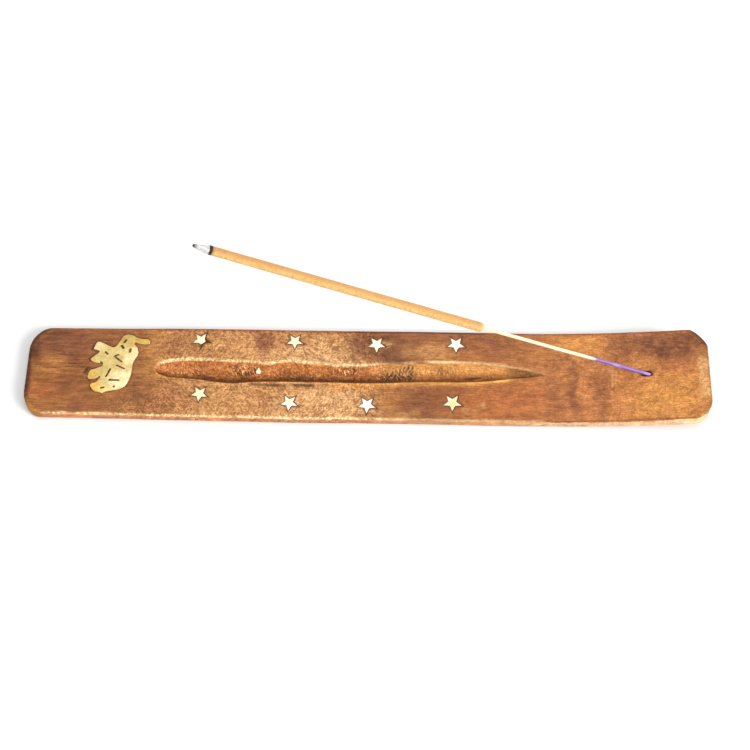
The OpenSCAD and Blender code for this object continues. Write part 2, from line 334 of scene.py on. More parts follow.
def splitAt(x, y):
    # a splinter lifted along the near edge, 0 to 1: two shallow grooves that taper out
    upper = bell(y + 4.75 + 0.055 * (x + 44), 0.4)
    upper = upper * smoothStep((x + 45) / 3) * smoothStep((-29 - x) / 4)
    lower = bell(y + 4.95 + 0.03 * (x + 27), 0.45)
    lower = lower * smoothStep((x + 28) / 1.5) * smoothStep((-19 - x) / 2)
    return np.clip(upper + lower, 0, 1) * (0.75 + 0.25 * lattice(x, y, 1.7, 16))


def troughAt(x, y):
    # how deep the gouge is: depth * (1 - t^2), t running from -1 to 1 between its two edges
    near, far = through(trough["nearEdge"], x), through(trough["farEdge"], x)
    middle, half = (near + far) / 2, np.maximum((far - near) / 2, 0.05)
    t = (y - middle) / half
    within = (x > trough["nearEdge"][0][0]) & (x < trough["nearEdge"][-1][0]) & (np.abs(t) < 1)
    full = trough["depth"] * np.clip(2 * half / trough["fullWidth"], 0, 1.08) ** 1.1
    gouge = full * (1 - np.abs(t) ** 2.1)
    broad, small = trough["facets"]
    facets = broad * lattice(x, y * 1.6, 4.5, 11) + small * lattice(x, y, 1.6, 12)
    facets = facets + trough["toolMark"] * toolMarks(x, y) + trough["hollow"] * hollowAt(x, y)
    return np.where(within, gouge + facets * np.clip(gouge / 0.8, 0, 1), 0)


def topAt(x, y):
    # height of the worked top face: land, rubbed rims, trough and splinter
    near, far = through(trough["nearEdge"], x), through(trough["farEdge"], x)
    toArris = np.minimum(np.abs(y - near), np.abs(y - far))
    beside = smoothStep((x + 80) / 4) * smoothStep((67 - x) / 6)
    worn = trough["arrisWear"] * bell(toArris, 0.5) * beside
    land = (0.05 * lattice(x, y, 9, 21) + 0.025 * lattice(x, y * 1.5, 2.6, 22)
            + 0.03 * lattice(x * 0.25, y, 1.1, 23))
    return (plank["thickness"] - plank["planed"] + arcRise(x, plank["topRise"]) - worn + land - troughAt(x, y)
            - trough["split"] * splitAt(x, y))


def roundOf(x):
    # radius of the upper arris, larger at the ends
    fromEnd = plank["length"] / 2 - np.abs(x)
    return plank["edgeRound"] + (plank["endRound"] - plank["edgeRound"]) * smoothStep(1 - fromEnd / 9)


def makePlank():
    half = plank["length"] / 2
    # cross-sections crowd together at the ends, are half a step apart at the tool marks, and a step elsewhere
    corner, step = 7, 0.5
    toolStart, toolEnd = 3, 21
    ramp = corner * (1 - np.cos(np.linspace(0, np.pi / 2, 15)))
    stations = np.concatenate([-half + ramp, np.arange(-half + corner + step, toolStart, step),
                               np.arange(toolStart, toolEnd, step / 2),
                               np.arange(toolEnd, half - corner - step / 2, step), half - ramp[::-1]])
    x = stations[:, None]
    nearEdge, farEdge = -edgeOf(stations, 0)[:, None], edgeOf(stations, 1)[:, None]
    insets = plank["edgeRound"] * np.array([0, 0.05, 0.15, 0.32, 0.55, 0.85, 1.2])[None]
    nearTrough, farTrough = through(trough["nearEdge"], x), through(trough["farEdge"], x)
    middle = (nearTrough + farTrough) / 2
    halfLine = np.maximum((farTrough - nearTrough) / 2, 0.9)
    fan = np.linspace(-1, 1, 37)[None]
    share = np.linspace(0, 1, 32)[None, 1:-1]
    nearLand = nearEdge + insets[:, -1:]
    farLand = farEdge - insets[:, -1:]
    topY = np.concatenate([
        nearEdge + insets,
        nearLand + (middle - halfLine - nearLand) * share,
        middle + halfLine * np.sin(fan * np.pi / 2),
        middle + halfLine + (farLand - middle - halfLine) * share,
        farEdge - insets[:, ::-1]], axis=1)
    topX = np.broadcast_to(x, topY.shape)
    topZ = topAt(topX, topY) - quarterDrop(insetOf(topX, topY), roundOf(topX))
    footShare = np.linspace(0, 1, 17)[None, 1:-1]
    footInsets = plank["footRound"] * np.array([0, 0.1, 0.35, 0.8, 1.3])[None]
    footNear, footFar = nearEdge + footInsets, farEdge - footInsets
    footY = np.concatenate([footNear, footNear[:, -1:] + (footFar[:, -1:] - footNear[:, -1:]) * footShare,
                            footFar[:, ::-1]], axis=1)[:, ::-1]
    footX = np.broadcast_to(x, footY.shape)
    footZ = arcRise(footX, plank["bottomRise"]) + quarterDrop(insetOf(footX, footY), plank["footRound"])
    wallShare = np.array([0.25, 0.5, 0.75])[None]
    saw = 0.05 * lattice(x, wallShare * 3, 1.3, 31)
    wallX = np.broadcast_to(x, saw.shape)
    farWall = (wallX, farEdge + saw, topZ[:, -1:] + (footZ[:, :1] - topZ[:, -1:]) * wallShare)
    nearWall = (wallX, nearEdge - saw, footZ[:, -1:] + (topZ[:, :1] - footZ[:, -1:]) * wallShare)
    rings = [np.concatenate(part, axis=1)
             for part in zip((topX, topY, topZ), farWall, (footX, footY, footZ), nearWall)]
    points = np.stack(rings, -1)
    return putMesh("plank", points.reshape(-1, 3), tubeFaces(*points.shape[:2], start=1))


inlay = {
    "sheet": 1.0,            # thickness of the brass
    "bed": 0.3,              # lac under it
    "proud": 0.05,           # the brass stands this far above the wood
    "rimRound": 0.2,
    "lacLine": 0.28,         # width of lac that shows round a star
    "lacSunk": 0.14,         # the lac line lies this far below the wood
    "elephantLine": 0.17,
}
elephant = {
    "knots": [
        (-9.5, 11.2), (-10.6, 10.3), (-10.7, 8.3), (-11.2, 6.2), (-12.2, 4.4), (-12.6, 2.8),
        (-12.3, 1.5), (-11.6, 0.5), (-10.4, -0.1), (-9, -0.8), (-7.7, -1.5),
        (-7, -2.4), (-7.1, -3.3), (-7.7, -4.6), (-8.6, -6.3), (-9.2, -7.8), (-9.2, -8.7),
        (-8.7, -9.2), (-6.6, -9.9), (-5.9, -10), (-5.7, -9.2), (-5.3, -8),
        (-4.9, -7.7), (-4.1, -8.4), (-2.8, -9.9), (-2, -10.6), (-1.3, -10.7), (-0.5, -9.8),
        (0, -8.3), (-0.1, -7.4), (-0.7, -6.9), (-0.4, -6.3), (0.7, -6.1),
        (1.5, -6.7), (1.8, -7.7), (2.4, -8.9), (2.7, -10.1), (3.6, -10.8), (5.4, -11.2),
        (6.5, -11), (6.9, -10.3), (6.7, -8.4), (6.1, -7.5), (5.5, -6.6),
        (6, -6.5), (6.9, -7.1), (8, -8.1), (8.4, -9.1), (8.9, -9.9), (9.7, -9.9),
        (11.1, -9), (12, -7.9), (12.3, -6.4), (12.7, -5.1), (12.3, -4.4),
        (11.8, -3), (11.5, -1.3), (11.1, 0.5), (10.3, 2.1), (9.1, 3.4), (7.5, 4.2),
        (5.5, 4.9), (3.2, 5.2), (0.9, 5.3), (-0.6, 5.5), (-2, 6),
        (-3.6, 6.8), (-4.8, 7.1), (-5.9, 6.8), (-6.9, 6.6), (-7.8, 5.9), (-8.4, 5.2),
        (-9, 5.3), (-9, 6), (-8.5, 6.8), (-8.2, 8.3), (-8.2, 9.9), (-8.6, 10.8)],
    "slots": [
        ((-10.1, 1.9), (-9.1, 1.3), 0.6), ((-7.6, 0.5), (-6.6, 1.2), 0.7), ((-6.2, 3.8), (-5.1, 3.8), 0.8),
        ((-4.8, -5.5), (-4, -4.5), 0.5), ((-3.7, -0.4), (-3.1, -2), 0.5), ((-2.7, -1.5), (-0.7, 1), 0.5),
        ((0.8, -0.7), (2.2, 2.2), 0.5), ((2.5, -3), (5.5, -4.3), 0.55), ((7, -2.9), (7.1, 0.6), 0.6),
        ((10.5, -5.8), (10.2, -4.7), 0.6), ((9.7, -1), (9.8, -0.9), 0.7)],
}
star = {
    "count": 8,
    "notchShare": 1.65 / 3.6,    # radius of the notches, as a share of the points'
    "turns": (3, 0, 0, 0, -5, -5, -2, 0),
    "broken": 1,
    "lost": (0, 1),
    "stub": 0.56,
    "filedBack": 0.955,          # the brass was filed this much smaller than its socket's outline
}
deck = plank["thickness"]
recess = deck - inlay["sheet"] - inlay["bed"]                # floor of a socket
brassFoot = deck + inlay["proud"] - inlay["sheet"]           # underside of the brass


def placeElephant(drawn):
    # drawn upright and facing left; on the plank its feet point to the plain end and its head to the far edge
    low, high = boxOf("elephant_inlay")
    knots = np.array(elephant["knots"])
    middle = (knots.max(0) + knots.min(0)) / 2
    centre = (low + high)[:2] / 2
    drawn = np.asarray(drawn) - middle
    return np.stack([centre[0] + drawn[..., 1], centre[1] - drawn[..., 0]], -1)


def slotRing(start, end, width):
    # a slot with round ends: two half circles joined by straight sides
    start, end = np.array(start), np.array(end)
    turn = math.atan2(*(end - start)[::-1])
    sweep = np.radians(np.linspace(90, 270, 9))
    circle = lambda at, angles: at + width / 2 * np.stack([np.cos(angles), np.sin(angles)], 1)
    return np.concatenate([circle(start, turn + sweep), circle(end, turn + sweep + np.pi)])


def starRing(radius, notch, lost=()):
    # points at 72 degree steps, the first towards the near edge, with a notch between each two
    # a lost point is broken off to a stub
    k = np.arange(10)
    reach = np.where(k % 2, notch, np.where(np.isin(k // 2, lost), star["stub"] * radius, radius))
    angle = np.radians(36 * k - 90)
    return np.stack([reach * np.cos(angle), reach * np.sin(angle)], 1)


def turned(ring, centre, degrees):
    c, s = math.cos(math.radians(degrees)), math.sin(math.radians(degrees))
    return ring @ np.array([[c, s], [-s, c]]) + centre


def grownBy(ring, gap):
    # every side moved out by the gap, with the corners kept from running out to long spikes
    before, after = ring - np.roll(ring, 1, axis=0), np.roll(ring, -1, axis=0) - ring
    a, b = (unit(np.stack([run[:, 1], -run[:, 0]], 1)) for run in (before, after))
    mean = unit(a + b)
    facing = np.maximum((mean * a).sum(1), 0.45)
    area = (ring[:, 0] * np.roll(ring[:, 1], -1) - np.roll(ring[:, 0], -1) * ring[:, 1]).sum()
    grown = ring + math.copysign(gap, area) * mean / facing[:, None]
    return grown[distanceTo([ring], grown) > 0.97 * gap]


def starPlace(i):
    # centre, size and turn of a star, fitted to the box of its lac bed, which is always a whole star
    low, high = boxOf(f"star_bedding_{i}")
    whole = turned(starRing(1, star["notchShare"]), (0, 0), star["turns"][i - 1])
    size = (high - low)[1] / np.ptp(whole[:, 1])
    centre = (low + high)[:2] / 2 - size * (whole.max(0) + whole.min(0)) / 2
    brassLow, brassHigh = boxOf("star_inlay_2")
    bedLow, bedHigh = boxOf("star_bedding_2")
    return centre, size * (brassHigh - brassLow)[1] / (bedHigh - bedLow)[1], star["turns"][i - 1]


def brassTop(x, y):
    # sheet brass that was filed by hand: a slight dome and soft dents
    return deck + inlay["proud"] + 0.02 * lattice(x, y, 2.6, 41) + 0.008 * lattice(x, y, 0.9, 42)


def lacTop(x, y):
    return deck - inlay["lacSunk"] + 0.04 * lattice(x, y, 0.5, 43)


def lacSolids(brassRing, grown, slots):
    # a plate under the brass, a rim round it and a rib in each slot
    return joinSolids(
        [sheetSolid([grown], recess, lambda x, y: np.full_like(x, brassFoot - 0.01), spacing=0.8),
         sheetSolid([grown, brassRing], recess, lacTop, spacing=0.35)]
        + [sheetSolid([slot], recess, lacTop, spacing=0.2) for slot in slots])


def paintInlayShadow(lac, rings, slots, side):
    # Paints shadow on the lac, 0 to 1, on the given side of its brass: the outward slope of the
    # signed distance from the brass, taken along that side. Lac in a slot gets at least half of it, as
    # painted shade.
    points, step = pointsOf(lac)[:, :2], 0.05
    signed = lambda p: distanceTo(rings, p) * np.where(inside(rings, p), -1, 1)
    slope = np.stack([signed(points + move) - signed(points - move) for move in ((step, 0), (0, step))], 1)
    facing = unit(slope) @ side
    marked = smoothStep(0.45 + 0.65 * facing)
    if slots:
        marked = np.maximum(marked, 0.5 * inside(slots, points))
    putAttribute(lac, "shadowSide", marked)


def makeInlay(names, outline, slots, socket, rimRound, spacing, side):
    # a piece of brass, the lac in its socket, and the socket's outline; side is where the lac's painted
    # shadow lies
    brass = putMesh(names[0], *sheetSolid([outline] + slots, brassFoot, brassTop, rimRound, spacing))
    lac = putMesh(names[1], *lacSolids(outline, socket, slots), smooth=False)
    paintInlayShadow(lac, [outline], slots, side)
    return brass, lac, socket


def makeElephant():
    outline = placeElephant(closedCurve(elephant["knots"], 5))
    slots = [placeElephant(slotRing(*slot)) for slot in elephant["slots"]]
    return makeInlay(("elephant", "elephant_lac"), outline, slots, grownBy(outline, inlay["elephantLine"]),
                     inlay["rimRound"], 0.4, (-0.95, 0.3))


def makeStar(i):
    centre, size, turn = starPlace(i)
    notch, filed = size * star["notchShare"], star["filedBack"]
    whole = turned(starRing(size, notch), centre, turn)
    lost = star["lost"] if i == star["broken"] else ()
    kept = turned(starRing(size * filed, notch * filed, lost), centre, turn)
    return makeInlay((f"star_{i}", f"star_lac_{i}"), kept, [], grownBy(whole, inlay["lacLine"]),
                     inlay["rimRound"] * 0.7, 0.35, (0.9, -0.44))


stick = {
    "holeFromEnd": 23,
    "bore": 0.84,
    "mouth": 1.1,
    "mouthDepth": 1.6,
    "bow": 0.28,            # how far the middle of the stick bends away from a straight line
    "core": 0.75,
    "coreSides": 20,
    "sides": 28,
    "ashSides": 36,
    "shoulder": 2.2,        # length of the rounded end of the coating
    "taper": 0.125,         # the coating is this much thinner, in radius, at its burning end
    "slip": 0.02,           # gap between the bamboo and what is rolled on it
}
lift = frame["joints"][0]
along = np.array(lift["axis"])                      # the stick points this way out of its hole
across = np.array([0.0, 1.0, 0.0])
upward = np.cross(along, across)
upward = upward if upward[2] > 0 else -upward
holeX = plank["length"] / 2 - stick["holeFromEnd"]
coreLow, coreHigh = boxOf("bamboo_core")
mouth = np.array([holeX, (coreLow[1] + coreHigh[1]) / 2, deck + arcRise(holeX, plank["topRise"])])


def reachOf(node):
    # where a piece of the stick starts and ends, in millimetres out of the hole's mouth
    run = (pointsOf(frame["nodes"][node]) - mouth) @ along
    return run.min(), run.max()


coreStart = reachOf("bamboo_core")[0]
coatStart, coatEnd = reachOf("incense_coating")
charStart, charEnd = reachOf("char_ring")
ashStart, ashEnd = reachOf("ash_tip")
coatLow, coatHigh = boxOf("incense_coating")
coatRadius = (coatHigh[1] - coatLow[1]) / 2


def around(sides):
    # angles of evenly spaced points round the stick
    return np.linspace(0, 2 * np.pi, sides, endpoint=False)[None]


def stickPoints(s, radius, angle):
    # points of a round surface along the stick: centre line with a slight bow, plus radius at an angle
    free = np.clip(s / ashEnd, 0, 1)
    bow = stick["bow"] * np.sin(np.pi * free) * smoothStep(free * 4)
    centre = mouth + s[..., None] * along - bow[..., None] * upward
    outward = np.cos(angle)[..., None] * across + np.sin(angle)[..., None] * upward
    return centre + radius[..., None] * outward


def roundPiece(name, s, radius, joined=False):
    # a surface of revolution along the stick: s and radius hold one ring in each row
    angle = np.broadcast_to(around(radius.shape[1]), radius.shape)
    points = stickPoints(np.broadcast_to(s, radius.shape), radius, angle)
    return putMesh(name, points.reshape(-1, 3), tubeFaces(*radius.shape, joined))


def ringNoise(s, angle, cell, seed):
    # noise that meets itself round the stick: it is read on a circle of the stick's own size
    return 0.5 * (lattice(s + 1.7 * np.cos(angle), 1.7 * np.sin(angle) + 30, cell, seed)
                  + lattice(s - 1.7 * np.sin(angle), 1.7 * np.cos(angle) + 60, cell, seed + 1))


def makeBamboo():
    s = np.arange(coreStart, charEnd - 0.1, 0.7)[:, None]
    angle = around(stick["coreSides"])
    split = 0.075 * np.cos(2 * angle + 2.07) + 0.02 * np.cos(5 * angle + s * 0.004)
    radius = stick["core"] * (0.90 + split + 0.02 * ringNoise(s, angle, 5, 51))
    return roundPiece("bamboo", s, radius)


def makeCoating():
    s = np.linspace(coatStart, coatEnd, 300)[:, None]
    shoulder = coatStart + stick["shoulder"] * (1 - np.cos(np.linspace(0, np.pi / 2, 9)))[:, None]
    s = np.concatenate([shoulder, s[s[:, 0] > shoulder[-1, 0] + 0.1]])
    angle = around(stick["sides"])
    share = np.clip((s - coatStart) / (coatEnd - coatStart), 0, 1)
    full = coatRadius - stick["taper"] * share
    lumps = 0.035 * ringNoise(s, angle, 7, 61) + 0.02 * ringNoise(s, angle, 1.7, 63)
    lip = 0.16 * bell(s - coatStart - 1.0, 1.1) * np.clip(-np.sin(angle + 0.3), 0, 1)
    q = np.clip((s - coatStart) / stick["shoulder"], 0, 1)
    rounded = np.sqrt(1 - (1 - q) ** 2.4)
    radius = stick["core"] + (full - stick["core"]) * rounded + (lumps + lip) * rounded
    inner = np.full((2, stick["sides"]), stick["core"] + stick["slip"])
    s = np.concatenate([s, [[s[-1, 0]], [coatStart + 0.01]]])
    return roundPiece("incense", s, np.concatenate([radius, inner]), joined=True)


def makeChar():
    s = np.linspace(charStart - 0.15, charEnd, 9)[:, None]
    angle = around(stick["sides"])
    share = (s - s[0]) / (s[-1] - s[0])
    ragged = 0.35 * ringNoise(s * 0, angle, 0.9, 71)
    radius = (coatRadius - 0.1 - 0.16 * share ** 2 + 0.06 * ringNoise(s, angle, 0.6, 73)
              - 0.3 * np.clip(0.12 - share, 0, 1))
    s = s + ragged * (1 - share) * 0.9
    inner = np.full((2, stick["sides"]), stick["core"] + stick["slip"])
    s = np.concatenate([s, s[-1:], s[:1]])
    return roundPiece("char", s, np.concatenate([radius, inner]), joined=True)


def makeAsh():
    t = np.linspace(0, 1, 34)[:, None]
    angle = around(stick["ashSides"])
    s = ashStart - 0.1 + (ashEnd - ashStart) * t
    flakes = 0.17 * ringNoise(s * 1.4, angle, 1.1, 81) + 0.09 * ringNoise(s * 2, angle, 0.5, 83)
    body = (1 - t) ** 0.45 + 0.1 * bell(t - 0.93, 0.05)
    radius = (coatRadius - 0.3) * body + flakes * (0.35 + body) * np.clip((1 - t) * 6, 0, 1)
    s = s + 0.25 * ringNoise(s, angle, 1.3, 85) * (1 - t)
    return roundPiece("ash", s, np.clip(radius, 0.04, None))


def stickHole():
    # the drilled hole, widened and worn at its mouth
    s = np.array([coreStart - 0.12, -4, -2.6, -1.8, -1.2, -0.6, 0, 0.6, 1.3, 2.2, 3.4])[:, None]
    angle = around(32)
    worn = smoothStep((s + stick["mouthDepth"]) / (stick["mouthDepth"] + 1.2))
    ragged = 0.1 * ringNoise(s, angle, 0.8, 91) * worn
    radius = stick["bore"] + (stick["mouth"] - stick["bore"]) * worn + ragged
    return roundPiece("hole_cutter", s, radius + s * 0)


def cutSockets(board, rings, hole):
    # the sockets of the inlays and the hole are taken out of the plank
    cutter = putMesh("socket_cutter", *joinSolids(
        [sheetSolid([ring], recess, lambda x, y: np.full_like(x, deck + 2), spacing=1.5) for ring in rings]))
    for tool in (cutter, hole):
        cut = board.modifiers.new("cut", "BOOLEAN")
        cut.operation = "DIFFERENCE"
        cut.solver = "EXACT"
        cut.object = tool
    bpy.context.view_layer.update()
    finished = bpy.data.meshes.new_from_object(board.evaluated_get(bpy.context.evaluated_depsgraph_get()))
    board.modifiers.clear()
    board.data = finished
    finished.name = "plank"
    for tool in (cutter, hole):
        bpy.data.objects.remove(tool)
    finished.set_sharp_from_angle(angle=math.radians(48))


board = makePlank()
print("plank shaped")
elephantBrass, elephantLac, elephantRing = makeElephant()
stars = [makeStar(i) for i in range(1, star["count"] + 1)]
print("inlays cut")
cutSockets(board, [elephantRing] + [ring for _, _, ring in stars], stickHole())
print("sockets cut")
bamboo, incense, char, ash = makeBamboo(), makeCoating(), makeChar(), makeAsh()
print("stick rolled")


chip = {
    "place": (-40.5, 1.9),
    "turn": 84,
    "size": (2.1, 2.0),
    "thickness": 0.85,
}


def looseTip():
    # a star's broken point that came out of its socket and lies in the trough, tipped onto its slope
    x, y = chip["place"]
    ring = closedCurve([(-0.5, -0.32), (-0.55, 0.0), (-0.48, 0.36), (-0.15, 0.44), (0.2, 0.25), (0.55, 0.03),
                        (0.22, -0.24), (-0.12, -0.45)], 4)
    ring = turned(ring * chip["size"], (0, 0), chip["turn"])
    crown = lambda u, v: chip["thickness"] + 0.03 * lattice(u, v, 0.5, 45)
    solid, faces = sheetSolid([ring], 0, crown, 0.12, 0.2)
    step = 0.3
    floor = topAt(np.array([x, x + step, x]), np.array([y, y, y + step]))
    slopeX, slopeY = (floor[1] - floor[0]) / step, (floor[2] - floor[0]) / step
    up = np.array([-slopeX, -slopeY, 1]) / math.sqrt(slopeX ** 2 + slopeY ** 2 + 1)
    east = np.cross([0, 1, 0], up) / np.linalg.norm(np.cross([0, 1, 0], up))
    solid = solid @ np.stack([east, np.cross(up, east), up]) + (x, y, floor[0] + 0.04)
    return putMesh("loose_star_tip", solid, faces)


tip = looseTip()
print("loose tip placed")

# Stains are linear colours. A patch is (stain, x, y, reach along x, reach along y, strength): it covers
# strength * exp(-(|dx/reach|^3 + |dy/reach|^3)), with its rim broken up by noise.
stains = {
    "brown": (0.310, 0.120, 0.034),
    "purple": (0.175, 0.064, 0.030),
    "smoke": (0.265, 0.098, 0.042),
    "tan": (0.560, 0.286, 0.106),
    "pale": (0.700, 0.410, 0.182),
    "ochre": (0.500, 0.215, 0.058),
    "orange": (0.530, 0.210, 0.068),
    "gold": (0.620, 0.275, 0.068),
    "red": (0.480, 0.152, 0.052),
    "soot": (0.050, 0.018, 0.009),
    "toast": (0.125, 0.042, 0.011),
    "cream": (0.920, 0.680, 0.340),
    "amber": (1.000, 0.540, 0.150),
    # the near side's stains are partly its own colour and partly painted light from the front
    "side": (0.520, 0.190, 0.075),
    "sideWarm": (0.440, 0.180, 0.088),
    "sideBareAndLit": (0.880, 0.570, 0.300),
    # wall is the gouge's wood where it catches light; floor and shade are painted shade on it
    "wall": (0.550, 0.205, 0.060),
    "wallGold": (0.720, 0.360, 0.105),
    "floor": (0.355, 0.127, 0.030),
    "shade": (0.125, 0.040, 0.012),
}
patches = [
    ("tan", -39, 0, 43, 60, 0.95), ("ochre", -80, 8, 7, 14, 0.35), ("ochre", -76, -6, 8, 12, 0.3),
    ("orange", 98, 0, 38, 60, 1.0), ("orange", 45, 6, 22, 9, 0.5), ("red", 52, -11, 18, 9, 0.65),
    ("purple", -117, 12, 13, 8, 0.95), ("soot", -126, 11, 3, 6, 0.6), ("smoke", -103, 12, 16, 7, 0.6),
    ("ochre", -119, 1, 7, 5, 0.45), ("red", -120, -9, 7, 3.4, 0.5), ("ochre", -118, -15, 8, 4, 0.25),
    ("smoke", -109, -6, 7, 8, 0.35), ("purple", -96, -14, 6, 3, 0.35), ("purple", -86, -9, 6, 7, 0.4),
    ("ochre", -96, -11, 4, 2, 0.3), ("smoke", -105, -15, 10, 3.2, 0.85), ("purple", -86, 2, 3, 7, 0.25),
    ("smoke", -69, 10, 5, 6, 0.35), ("smoke", -69, -8, 6, 5, 0.5), ("smoke", -77, -14, 5, 5, 0.35),
    ("smoke", -38.5, 13, 2.4, 6, 0.9), ("smoke", -44, 15, 9, 5, 0.2), ("smoke", -37, -10, 5, 4, 0.25),
    ("smoke", -31, 15, 4, 4, 0.25), ("pale", -16, 8, 13, 6, 0.75), ("pale", -12, -12, 14, 7, 0.8),
    ("pale", -32, -15, 9, 3.5, 0.45), ("pale", -30, 7, 9, 3, 0.4), ("ochre", -8, -5.5, 9, 2, 0.6),
    ("smoke", -1, 15, 8, 4, 0.55), ("purple", 7, 12, 9, 7, 0.85), ("purple", 14, 8, 6, 3, 0.5),
    ("purple", -0.5, 11, 3.4, 5, 0.6), ("purple", 12, 6, 5, 2.6, 0.5), ("tan", 22, 10, 9, 2.8, 0.75),
    ("tan", 8.6, 13, 2.2, 0.9, 0.6), ("smoke", 30, 16, 18, 2.6, 0.75), ("smoke", 47, 13, 14, 6, 0.6),
    ("smoke", 20, -12, 12, 8, 0.65), ("purple", 22, -13, 6, 5, 0.35), ("smoke", 30, -6, 9, 3, 0.5),
    ("ochre", 9, -11, 4, 4, 0.4), ("tan", 13, -17, 5, 1.8, 0.6), ("tan", 42.4, -11.6, 1.1, 1.1, 0.7),
    ("tan", 37, -13.6, 1.8, 0.8, 0.5), ("tan", 40, -15, 5, 2, 0.3), ("smoke", 60, -17, 12, 2, 0.3),
    ("smoke", 71, -10, 4, 11, 0.5), ("smoke", 77.6, -6, 1.8, 16, 0.75), ("smoke", 87.4, -8, 3, 13, 0.6),
    ("smoke", 74, 6, 6, 3.6, 0.5), ("gold", 80, 14, 12, 5, 0.85), ("gold", 112, -9, 15, 9.5, 0.9),
    ("gold", 104, 5, 6, 2.6, 0.6), ("toast", 106.6, 2.3, 1.3, 0.8, 0.7), ("toast", 101.5, 1.9, 2, 0.6, 0.5),
    ("smoke", 95, 11, 3.4, 8, 0.6), ("red", 97, -3, 4.4, 3, 0.4), ("smoke", 99, 15, 7, 6, 0.4),
    ("purple", 112, 12, 15, 6.5, 0.9), ("purple", 122, 14, 6, 5, 0.6), ("red", 116, 4, 6, 4, 0.35),
    ("gold", 124, -2, 3, 12, 0.5), ("smoke", 109, 15, 3, 3, 0.35),
]
chipMarks = [       # where the gouge tore the grain in the trough: x, y, reach along x, along y, strength
    (-46, 1.6, 5.5, 1.9, 1.0), (-31, 1.0, 6, 1.6, 0.35), (-7, 1.9, 5, 1.5, 0.9), (-65, 0.6, 6, 1.1, 0.6),
    (-17, -0.6, 6, 1.4, 0.35), (11, 0.6, 7.5, 2.4, 0.7), (27, 2.6, 8, 1.2, 0.4), (-73, 0.4, 4, 1.4, 0.3),
]
wear = {
    "nearEdge": [(-127, 0.2), (-122, 0.85), (-100, 0.8), (-60, 0.9), (-5, 1.0), (10, 0.6), (30, 0.45),
                 (60, 0.35), (70, 0.0), (122, 0.0), (126, 0.1)],
    "farArris": [(-81, 0), (-79.4, 0), (-78, 0.9), (-60, 1.0), (-5, 0.95), (2, 0.8), (10, 0.35), (16, 0.55),
                 (22, 0.2), (24, 0.85), (36, 0.8), (45, 0.55), (60, 0.35), (66, 0.2), (68, 0)],
    "nearArris": [(-81, 0), (-79, 0.3), (-74, 0.4), (-62, 0.15), (-30, 0.35), (-18, 0.15), (-8, 0.6),
                  (10, 0.6), (26, 0.7), (33, 0.8), (36, 1.15), (46, 1.15), (52, 0.8), (56, 0.2), (60, 0)],
    # sidePale is partly rubbed wood and partly painted light on the near side
    "sidePale": [(-128, 0.1), (-60, 0.1), (0, 0.15), (45, 0.35), (80, 0.8), (128, 1.0)],
}


def paint(colour, *coats):
    # moves each vertex's colour towards the stains, one after the other, by the share that each one covers
    for name, cover in coats:
        colour += (np.array(stains[name]) - colour) * np.clip(cover, 0, 1)[:, None]


def stainPatches(colour, x, y):
    # soft patches, their places warped and their strength broken up by noise
    wx = x + 2.2 * lattice(x, y, 7, 101) + 0.9 * lattice(x, y, 2.3, 102)
    wy = y + 1.6 * lattice(x, y, 6, 103) + 0.6 * lattice(x, y, 1.9, 104)
    ragged = 1 + 0.3 * lattice(x * 0.7, y, 3.1, 105) + 0.32 * lattice(x * 0.8, y, 1.2, 106)
    for name, px, py, rx, ry, strength in patches:
        paint(colour, (name, strength * blob((wx - px) / rx, (wy - py) / ry, 3) * ragged))


def stainTrough(colour, x, y, upper, near, far):
    # the far wall of the gouge catches light; its floor, near wall, cuts, dent and the splinter's grooves are
    # darkened with painted shade. Gives back how deep each vertex is and how torn its grain is, both 0 to 1
    t = (y - (near + far) / 2) / np.maximum((far - near) / 2, 0.05)
    deep = np.clip(troughAt(x, y) / 0.5, 0, 1) * upper
    golden = smoothStep((x + 8) / 22 + 0.3 * lattice(x, y, 5, 111))
    wander = t + 0.28 * lattice(x, y, 6, 112) + 0.16 * lattice(x, y, 1.4, 113)
    darkPatch = blob((x - 12) / 7.5, (y + 1.3 - 0.12 * (x - 12)) / 2.7, 4)
    tail = smoothStep((x - 50) / 6) * (np.abs(t) < 1) * (x < trough["nearEdge"][-1][0]) * upper
    paint(colour,
          ("wall", deep),
          ("wallGold", deep * golden * 0.8),
          # painted shade: the gouge darkens from its far wall over the floor to the near wall
          ("floor", deep * smoothStep((0.45 - wander) / 0.6) * (1 - 0.3 * golden)),
          ("shade", deep * smoothStep((-0.2 - wander) / 0.45) * (0.95 - 0.3 * golden)),
          # a darker slanting patch across the near wall where the tool marks are
          ("shade", deep * darkPatch * (0.85 + 0.35 * lattice(x, y, 1.1, 116))),
          ("toast", tail * smoothStep((t + 0.7 + 0.3 * lattice(x, y, 1.5, 117)) / 0.7) * 0.75),
          # painted shade in the tool cuts, the dent and the splinter's grooves
          ("soot", deep * np.clip(toolMarks(x, y) * 1.5, 0, 0.9)),
          ("soot", deep * np.clip(hollowAt(x, y) * 2.2, 0, 0.8)),
          ("soot", upper * splitAt(x, y) * 0.85))
    torn = np.full(len(x), 0.12)
    for px, py, rx, ry, strength in chipMarks:
        torn += strength * blob((x - px) / rx, (y - py) / ry, 4)
    return deep, np.clip(torn, 0, 1) * deep


